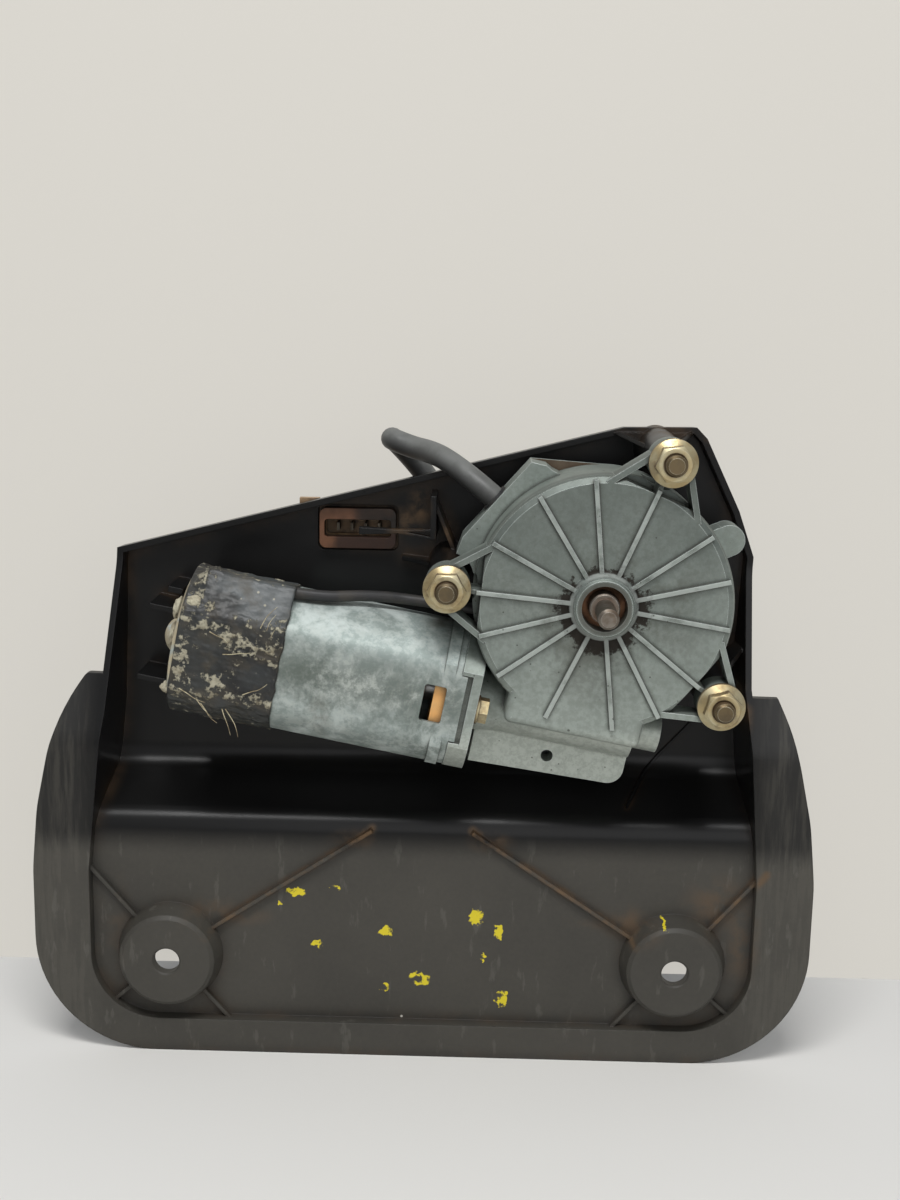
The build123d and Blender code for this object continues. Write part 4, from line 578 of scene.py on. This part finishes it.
def muddy_tape():
    """Old black tape. Attributes say where: mud for dried mud, and the other for smooth tape with a painted
    blue-grey sheen.
    """
    p = Paint("tape_black", Specular_IOR_Level=0.4)
    there = p.node("ShaderNodeAttribute", attribute_name="mud").outputs["Fac"]
    smooth_sheen = p.node("ShaderNodeAttribute", attribute_name="smooth_sheen").outputs["Fac"]
    fine = p.noise(520.0, 6.0, 0.7)
    crumbs = p.patches(900.0, 0.40, 0.62, 4.0)
    mud = p.fade(p.math("ADD", there, p.math("MULTIPLY", p.math("SUBTRACT", fine, 0.5), 2.1)), 0.44, 0.66)
    brown = p.patches(140.0, 0.45, 0.70)
    haze = p.patches(48.0, 0.34, 0.66)
    flecks = p.product(p.specks(420.0, 0.10, 0.22), 0.7)
    p.set(
        Base_Color=p.layers(
            (0.0080, 0.0080, 0.0080), (p.product(haze, 0.7), (0.040, 0.043, 0.040)),
            # Painted sheen: blue-grey where the tape is smooth.
            (p.product(smooth_sheen, 0.9), (0.080, 0.090, 0.092)), (p.product(brown, 0.55), (0.066, 0.054, 0.036)),
            (flecks, (0.360, 0.335, 0.250)),
            (mud, p.layers(
                (0.300, 0.278, 0.205), (p.product(brown, 0.8), (0.130, 0.105, 0.062)),
                (p.product(crumbs, 0.5), (0.430, 0.405, 0.310))))),
        Roughness=p.total(p.blend(mud, 0.40, 0.92), p.product(brown, 0.1)),
        Normal=p.bump(p.total(p.product(mud, 0.6), p.product(fine, 0.4)), 0.35, 0.8))
    return p.material


def dried_mud():
    p = Paint("dried_mud", Roughness=0.92, Specular_IOR_Level=0.2)
    fine = p.noise(620.0, 6.0, 0.7)
    brown = p.patches(180.0, 0.40, 0.66)
    p.set(
        Base_Color=p.layers(
            DRY_MUD, (p.product(brown, 0.8), (0.200, 0.160, 0.100)),
            # Painted shade in the mud's crevices.
            (p.product(fine, 0.4), (0.540, 0.510, 0.410)), (p.product(p.crease(2.0), 0.5), GRIME_AND_SHADE)),
        Normal=p.bump(fine, 0.4, 0.8))
    return p.material


def straw():
    p = Paint("straw", Roughness=0.7)
    p.set(Base_Color=p.layers(DRY_STRAW, (p.patches(400.0, 0.4, 0.6), (0.240, 0.190, 0.110))))
    return p.material


def dress_nodes():
    """Gives every piece of the frame its material."""
    gold = plated_gold("gold_zinc", (0.420, 0.330, 0.175), (0.480, 0.430, 0.280), 0.5)
    dull = plated_gold("dull_zinc", (0.150, 0.112, 0.062), (0.110, 0.085, 0.052), 0.35)
    shaft = metal("shaft_steel", (0.215, 0.190, 0.160), (0.140, 0.112, 0.086), 0.38, 0.5)
    plain = metal("plain_steel", (0.500, 0.500, 0.490), (0.400, 0.390, 0.370), 0.34, 0.12)
    bronze = metal("bronze", (0.240, 0.125, 0.070), (0.120, 0.062, 0.036), 0.48, 0.8)
    copper = metal("copper", (0.640, 0.250, 0.110), (0.500, 0.180, 0.080), 0.35, 0.15)
    contact = metal("contact_brass", (0.700, 0.500, 0.210), (0.560, 0.380, 0.150), 0.33, 0.25)
    blades = metal("worn_blades", (0.110, 0.095, 0.070), (0.050, 0.038, 0.026), 0.45, 0.7, metallic=0.7)
    sheets = metal("lamination", (0.160, 0.160, 0.165), (0.100, 0.100, 0.100), 0.5, 0.2)
    nylon = moulded("white_nylon", (0.660, 0.640, 0.540), (0.580, 0.540, 0.400), 0.42, 0.12)
    orange = moulded("orange_plastic", (0.660, 0.340, 0.110), (0.720, 0.430, 0.170), 0.50, 0.15)
    black = moulded("black_plastic", (0.016, 0.016, 0.016), (0.028, 0.027, 0.025), 0.42, 0.3)
    paper = moulded("gasket_paper", (0.100, 0.075, 0.050), (0.070, 0.050, 0.035), 0.85, 0.3)
    ferrite = moulded("ferrite", (0.055, 0.055, 0.060), (0.085, 0.085, 0.088), 0.6, 0.1)
    carbon = moulded("carbon", (0.030, 0.030, 0.032), (0.050, 0.050, 0.052), 0.5, 0.1)
    rubber = soft_black("rubber_black", 0.5, 0.35)
    worn = {
        bracket_plastic(): ["bracket"],
        cast_alloy(): ["gear_housing"],
        zinc_steel(): ["motor_can", "housing_cover", "cover_screws"],
        gold: ["flange_nuts", "can_screws"],
        dull: ["housing_bolts"],
        shaft: ["output_shaft"],
        plain: ["wheel_hub", "thrust_washer", "magnet_clips", "armature_shaft", "thrust_ball", "thrust_plug",
                "bearing_clip", "brush_springs"],
        bronze: ["shaft_bush", "rear_bearing", "front_bearing"],
        copper: ["armature_windings", "commutator_bars"],
        contact: ["park_disc", "contact_fingers", "brush_holders"],
        blades: ["connector_terminals"],
        sheets: ["armature_core"],
        nylon: ["worm_wheel"],
        orange: ["brush_card"],
        black: ["contact_plate", "commutator_core"],
        paper: ["cover_gasket"],
        ferrite: ["field_magnets"],
        carbon: ["brushes"],
        rubber: ["shaft_seal", "lead_grommet"],
        connector_plastic(): ["connector_housing"],
    }
    for material, names in worn.items():
        for name in names:
            mesh = NODES[name].data
            mesh.materials.clear()
            mesh.materials.append(material)


dress_nodes()


def shown(name, data, material, slot, *stands_for):
    """Puts a new piece on the object."""
    data.materials.append(material)
    piece = bpy.data.objects.new(name, data)
    bpy.context.scene.collection.objects.link(piece)
    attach(piece, BODY)
    if stands_for:
        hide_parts(*stands_for)
    return piece


# Cords: the sleeve from the gear housing to the connector, and the motor's lead. Points and radii are in
# millimetres, in the shared frame.

SLEEVE_R = 3.6
SLEEVE_POINTS = (
    (-29.056, 28.5, 25.258), (-35.924, 28.5, 31.228), (-47.0, 38.0, 38.5), (-53.0, 46.5, 40.2),
    (-58.5, 52.0, 40.8), (-66.0, 54.8, 43.3), (-65.2, 62.4, 42.6), (-56.4, 62.4, 33.1), (-52.0, 61.5, 27.0),
    (-50.5, 61.0, 15.0), (-64.3, 61.0, 15.0),
)
LEAD_R = 1.7
LEAD_POINTS = (
    (-119.27, 14.73, 4.66), (-87.85, 14.73, -1.39), (-69.50, 21.0, -1.28), (-53.67, 25.0, -3.72),
    (-36.68, 20.0, -4.83),
)


def cord_curve(name, points, radius):
    data = bpy.data.curves.new(name, "CURVE")
    data.dimensions = "3D"
    data.bevel_depth = radius * MM
    data.bevel_resolution = 7
    data.resolution_u = 16
    data.use_fill_caps = True
    line = data.splines.new("NURBS")
    line.points.add(len(points) - 1)
    for point, place in zip(line.points, points):
        point.co = (*(Vector(place) * MM), 1.0)
    line.order_u = 3
    line.use_endpoint_u = True
    return data


sleeve = shown(
    "harness_tube", cord_curve("harness_tube", SLEEVE_POINTS, SLEEVE_R), dusty_lit_tube(),
    "sleeve_black", "harness_sleeve")
lead = shown(
    "motor_cable", cord_curve("motor_cable", LEAD_POINTS, LEAD_R), soft_black("lead_black", 0.46, 0.3),
    "rubber_black", "motor_lead")


# The tape: wrinkled turns over the can's end, with dried mud on them.

CAN_R = 22.3
CAN_HALF = 19.0
OUTLINE_STEPS = 96


def hull(points):
    """The convex outline round flat points, in order."""
    ordered = sorted(set(points))

    def half(run):
        kept = []
        for point in run:
            while len(kept) > 1 and (
                    (kept[-1][0] - kept[-2][0]) * (point[1] - kept[-2][1])
                    <= (kept[-1][1] - kept[-2][1]) * (point[0] - kept[-2][0])):
                kept.pop()
            kept.append(point)
        return kept[:-1]

    return half(ordered) + half(ordered[::-1])


def reach(outline, angle):
    """How far an outline lies from the axis at an angle."""
    dy, dz = math.cos(angle), math.sin(angle)
    best = 0.0
    for (ay, az), (by, bz) in zip(outline, outline[1:] + outline[:1]):
        cross = dy * (bz - az) - dz * (by - ay)
        if abs(cross) < 1e-9:
            continue
        share = (dz * ay - dy * az) / cross
        if -1e-6 <= share <= 1 + 1e-6:
            y, z = ay + share * (by - ay), az + share * (bz - az)
            if y * dy + z * dz > 0:
                best = max(best, math.hypot(y, z))
    return best


def around_can(grown, *lumps):
    """The can's outline grown outwards, stretched over round lumps (y, z, radius)."""
    turns = [math.tau * step / OUTLINE_STEPS for step in range(OUTLINE_STEPS)]
    points = []
    for turn in turns:
        far = min(CAN_R, CAN_HALF / max(abs(math.cos(turn)), 1e-6)) + grown
        points.append((far * math.cos(turn), far * math.sin(turn)))
    for y, z, radius in lumps:
        points += [(y + radius * math.cos(turn), z + radius * math.sin(turn)) for turn in turns[::3]]
    return hull([(round(y, 5), round(z, 5)) for y, z in points])


TAPE_LEFT = -121.6
TAPE_RIGHT = -90.0
TAPE_ROWS = 80
TAPE_TURNS = 360
TAPE_LIFT = 0.35
TAPE_THICK = 0.25
TAPE_TORN = 0.6
TAPE_FOLD = -116.2       # where the tape stands up over the lead, along the motor
FOLD_REACH = 7.0
FOLD_UP = 0.7
FOLD_DROP = 1.1
LEAD_LUMP = (-10.3, 22.0, 2.4)
MUD_FROM = 0.42          # the mud that it takes before the tape is thicker
MUD_MOST = 0.72

# Spots on the tape's front: x along the motor, z across it, half width, half height, amount.
MUD_SPOTS = (
    (-119.0, -3.0, 2.8, 12.0, 0.42), (-108.0, -6.8, 3.6, 4.4, 0.55), (-114.5, 8.7, 6.0, 3.5, 0.22),
    (-104.5, 6.6, 9.0, 4.2, 0.26), (-95.9, 5.4, 5.0, 3.6, 0.24), (-93.5, 9.5, 2.6, 6.0, 0.22),
    (-112.0, -11.6, 9.0, 1.6, 0.34), (-100.5, -10.4, 9.0, 1.8, 0.32), (-92.5, -11.0, 4.0, 1.4, 0.26),
    (-115.0, 13.5, 5.0, 4.0, 0.18), (-92.0, 15.0, 2.5, 3.0, 0.18), (-118.0, 19.5, 2.2, 5.0, 0.30),
    (-109.7, -0.6, 7.5, 5.0, -0.55), (-96.3, -3.0, 6.5, 5.8, -0.55), (-98.0, 19.5, 11.0, 6.0, -0.60),
    (-109.0, 18.5, 7.0, 4.0, -0.45), (-101.0, -17.0, 16.0, 4.5, -0.30),
)
# Spots where the tape is smooth and carries a painted sheen: x, z, half width, half height, amount.
SMOOTH_SHEEN_SPOTS = (
    (-97.5, 19.5, 11.5, 8.5, 1.0), (-108.0, 21.5, 8.0, 4.0, 0.75), (-96.3, -3.0, 6.5, 5.8, 0.25),
    (-108.5, -13.5, 9.0, 3.0, 0.35), (-108.4, 17.6, 4.5, 2.2, -0.8),
)


def spotted(spots, x, z):
    """The sum of the spots' amounts at a place, each fading out to its edge."""
    found = 0.0
    for mid_x, mid_z, wide, tall, amount in spots:
        away = math.hypot((x - mid_x) / wide, (z - mid_z) / tall)
        if away < 1.0:
            found += amount * (1.0 - away * away)
    return found


def mud_at(place, x):
    """How much dried mud lies at a place on the tape, from 0 to 1."""
    low = Vector((place.x * 0.22, place.y * 0.22, place.z * 0.40))
    patch = 0.5 + 0.5 * noise.fractal(low * 1.3, 0.8, 2.1, 5)
    seen = 1.0 if place.y < -4 else max(0.0, 1 - (place.y + 4) / 8)
    return max(0.0, min(MUD_MOST, patch * 0.60 + spotted(MUD_SPOTS, x, place.z) * seen * 0.8))


def make_tape():
    """Rings of points round the can, from its end to the tape's torn edge, wrinkled and crusted with mud."""
    data = bpy.data.meshes.new("tape")
    grid, mud, smooth_sheen = [], [], []
    build = bmesh.new()
    for row in range(TAPE_ROWS + 1):
        share = row / TAPE_ROWS
        x_mid = TAPE_LEFT + share * (TAPE_RIGHT - TAPE_LEFT)
        peak = max(0.0, 1 - abs(x_mid - TAPE_FOLD) / FOLD_REACH)
        drop = max(0.0, TAPE_FOLD - x_mid)
        lead_y, lead_z, lead_r = LEAD_LUMP
        outline = around_can(TAPE_LIFT, (lead_y, lead_z + FOLD_UP * peak - FOLD_DROP * drop, lead_r))
        ring = []
        for step in range(TAPE_TURNS):
            turn = math.tau * step / TAPE_TURNS
            torn = noise.fractal(Vector((math.cos(turn) * 4, math.sin(turn) * 4, 3.0)), 0.8, 2.0, 4)
            x = x_mid + share ** 6 * torn * TAPE_TORN
            away = reach(outline, turn)
            place = Vector((x, away * math.cos(turn), away * math.sin(turn)))
            wrinkle = noise.fractal(Vector((x * 0.25, place.y * 0.55, place.z * 0.55)), 0.8, 2.1, 5)
            slant = math.sin(x * 0.9 + turn * 7.0) * 0.10
            muddy = mud_at(place, x)
            crust = max(0.0, muddy - MUD_FROM) * 1.5 * (0.6 + 0.4 * noise.noise(place * 1.7))
            smooth = max(0.0, min(1.0, spotted(SMOOTH_SHEEN_SPOTS, x, place.z))) if place.y < 6 else 0.0
            out = 1 + (max(0.0, wrinkle + 0.4) * (0.34 - 0.2 * smooth) + slant + 0.12 + crust) / away
            if row in (0, TAPE_ROWS):
                out = 1 + 0.02 / away
            ring.append(build.verts.new(motor_place(x, place.y * out, place.z * out)))
            mud.append(muddy)
            smooth_sheen.append(smooth)
        grid.append(ring)
    for row, above in zip(grid, grid[1:]):
        for step in range(TAPE_TURNS):
            after = (step + 1) % TAPE_TURNS
            build.faces.new((row[step], above[step], above[after], row[after]))
    bmesh.ops.recalc_face_normals(build, faces=build.faces)
    build.to_mesh(data)
    build.free()
    data.polygons.foreach_set("use_smooth", [True] * len(data.polygons))
    for name, values in (("mud", mud), ("smooth_sheen", smooth_sheen)):
        kept = data.attributes.new(name, "FLOAT", "POINT")
        kept.data.foreach_set("value", values)
    tape = shown("old_tape", data, muddy_tape(), "tape_black", "tape_wrap")
    thick = tape.modifiers.new("thick", "SOLIDIFY")
    thick.thickness = TAPE_THICK * MM
    thick.offset = -1.0


make_tape()


# Mud lumps and straw at the can's end.

def lump(name, place, size, seed, material):
    """A rough ball of mud. place is on the motor, and size is its half width, depth and height."""
    build = bmesh.new()
    bmesh.ops.create_icosphere(build, subdivisions=4, radius=1.0)
    for vertex in build.verts:
        rough = noise.fractal(vertex.co * 1.6 + Vector((seed, 0, 0)), 0.9, 2.1, 4)
        vertex.co *= 1 + 0.28 * rough
        vertex.co = Vector((vertex.co.x * size[0], vertex.co.y * size[1], vertex.co.z * size[2]))
    data = bpy.data.meshes.new(name)
    build.to_mesh(data)
    build.free()
    data.polygons.foreach_set("use_smooth", [True] * len(data.polygons))
    centre = motor_place(*place)
    data.transform(Matrix.Translation(centre) @ Matrix.Rotation(TILT, 4, "Y") @ Matrix.Scale(MM, 4))
    shown(name, data, material, "tape_black")


MUD = dried_mud()
lump("mud_lump_top", (-123.2, -12.5, 11.4), (1.8, 2.6, 3.1), 1.0, MUD)
lump("mud_lump_middle", (-123.4, -11.0, 2.6), (1.9, 3.0, 3.9), 9.0, MUD)
lump("mud_lump_low", (-121.8, -15.4, -12.6), (2.3, 2.2, 1.7), 5.0, MUD)
lump("mud_lump_fold", (-118.6, -17.2, 15.4), (2.3, 1.0, 1.8), 3.0, MUD)


STRAW_R = 0.16
STRAW_POINTS = 4

# Where each straw starts on the motor (x, y, z), and its angle in degrees.
STRAW_STARTS = (
    (-112.5, -18.4, -13.5, -38), (-111.0, -18.2, -14.5, -42), (-104.5, -17.6, -15.2, -55),
    (-103.5, -17.4, -15.0, -48), (-118.0, -19.4, -11.0, -20), (-96.0, -18.8, 9.0, 75),
    (-94.5, -18.8, 6.0, 82), (-97.5, -19.0, 12.0, 70), (-107.0, -19.6, 2.0, 15),
    (-112.0, -19.7, 8.0, -12), (-99.0, -19.6, -9.0, 30),
)


def make_straws():
    draw = random.Random(7)
    data = bpy.data.curves.new("straws", "CURVE")
    data.dimensions = "3D"
    data.bevel_depth = STRAW_R * MM
    data.bevel_resolution = 2
    data.use_fill_caps = True
    for x, y, z, angle in STRAW_STARTS:
        length = draw.uniform(6.0, 10.0)
        line = data.splines.new("NURBS")
        line.points.add(STRAW_POINTS - 1)
        for number, point in enumerate(line.points):
            share = number / (STRAW_POINTS - 1)
            turn = math.radians(angle + draw.uniform(-8, 8))
            step = length * share
            off = y - 0.5 - 0.5 * share + draw.uniform(-0.2, 0.2)
            spot = motor_place(x + step * math.cos(turn), off, z + step * math.sin(turn))
            point.co = (*spot, 1.0)
            point.radius = 1.0 - 0.6 * share
        line.order_u = 3
        line.use_endpoint_u = True
    shown("straws", data, straw(), "tape_black")


make_straws()


# The room: a pale floor, a pale wall close behind that is there only from its front, soft light.

FLOOR_Z = -154.0
WALL_Y = 88.0
ROOM_REACH = 2500.0
WALL_EVEN = 0.8
AIM_PLACE = (-0.05, 0.02, -0.05)


def seen_rays(p):
    """The rays that show a thing: the camera's, and those of reflections and of glass."""
    ray = p.node("ShaderNodeLightPath").outputs
    return p.total(ray["Is Camera Ray"], ray["Is Glossy Ray"], ray["Is Transmission Ray"])


def room_paint(name, colour, scale, even=0.0):
    """Paint for the room. The camera and reflections see the given share of it evenly lit."""
    p = Paint(name, Roughness=0.75, Specular_IOR_Level=0.2)
    seen = p.product(seen_rays(p), even)
    mottled = p.layers(colour, (p.product(p.noise(scale, 5.0), 0.10), tuple(c * 0.9 for c in colour)))
    p.set(Base_Color=p.mix(seen, mottled, (0.0, 0.0, 0.0)), Emission_Color=mottled, Emission_Strength=seen)
    return p


def wall_paint():
    """Seen by the camera and in reflections, and from the front only, so that it holds no light back."""
    p = room_paint("wall_paint", (0.665, 0.642, 0.590), 4.0, WALL_EVEN)
    front = p.math("SUBTRACT", 1.0, p.node("ShaderNodeNewGeometry").outputs["Backfacing"])
    p.set(Alpha=p.product(seen_rays(p), front))
    return p.material


def sheet_of(name, corners, material):
    data = bpy.data.meshes.new(name)
    data.from_pydata([Vector(c) * MM for c in corners], [], [(0, 1, 2, 3)])
    data.materials.append(material)
    made = bpy.data.objects.new(name, data)
    bpy.context.scene.collection.objects.link(made)


FLOOR_CORNERS = [
    (x * ROOM_REACH, y * ROOM_REACH, FLOOR_Z) for x, y in ((-1, -1), (1, -1), (1, 1), (-1, 1))]
WALL_CORNERS = [
    (x * ROOM_REACH, WALL_Y, z) for x, z in ((-1, FLOOR_Z), (1, FLOOR_Z), (1, ROOM_REACH), (-1, ROOM_REACH))]

sheet_of("floor", FLOOR_CORNERS, room_paint("floor_paint", (0.760, 0.745, 0.710), 6.0).material)
sheet_of("wall", WALL_CORNERS, wall_paint())


def lamp(name, place, power, wide, tall):
    """A soft lamp that shines on AIM_PLACE. Places and sizes are in metres."""
    data = bpy.data.lights.new(name, "AREA")
    data.shape = "RECTANGLE"
    data.size = wide
    data.size_y = tall
    data.energy = power
    made = bpy.data.objects.new(name, data)
    bpy.context.scene.collection.objects.link(made)
    ahead = (Vector(AIM_PLACE) - Vector(place)).normalized()
    made.matrix_world = aimed(Vector((1, 0, 0)), ahead, Vector(place))


def make_light():
    lamp("top_light", (-0.10, -0.45, 0.85), 7.2, 0.55, 0.22)
    lamp("front_light", (0.25, -1.10, 0.45), 4.8, 1.2, 0.9)
    world = bpy.data.worlds.new("room")
    bpy.context.scene.world = world
    world.use_nodes = True
    back = world.node_tree.nodes["Background"]
    back.inputs["Color"].default_value = (0.92, 0.95, 1.0, 1.0)
    back.inputs["Strength"].default_value = 0.36


make_light()
bpy.context.scene.view_settings.view_transform = "Standard"
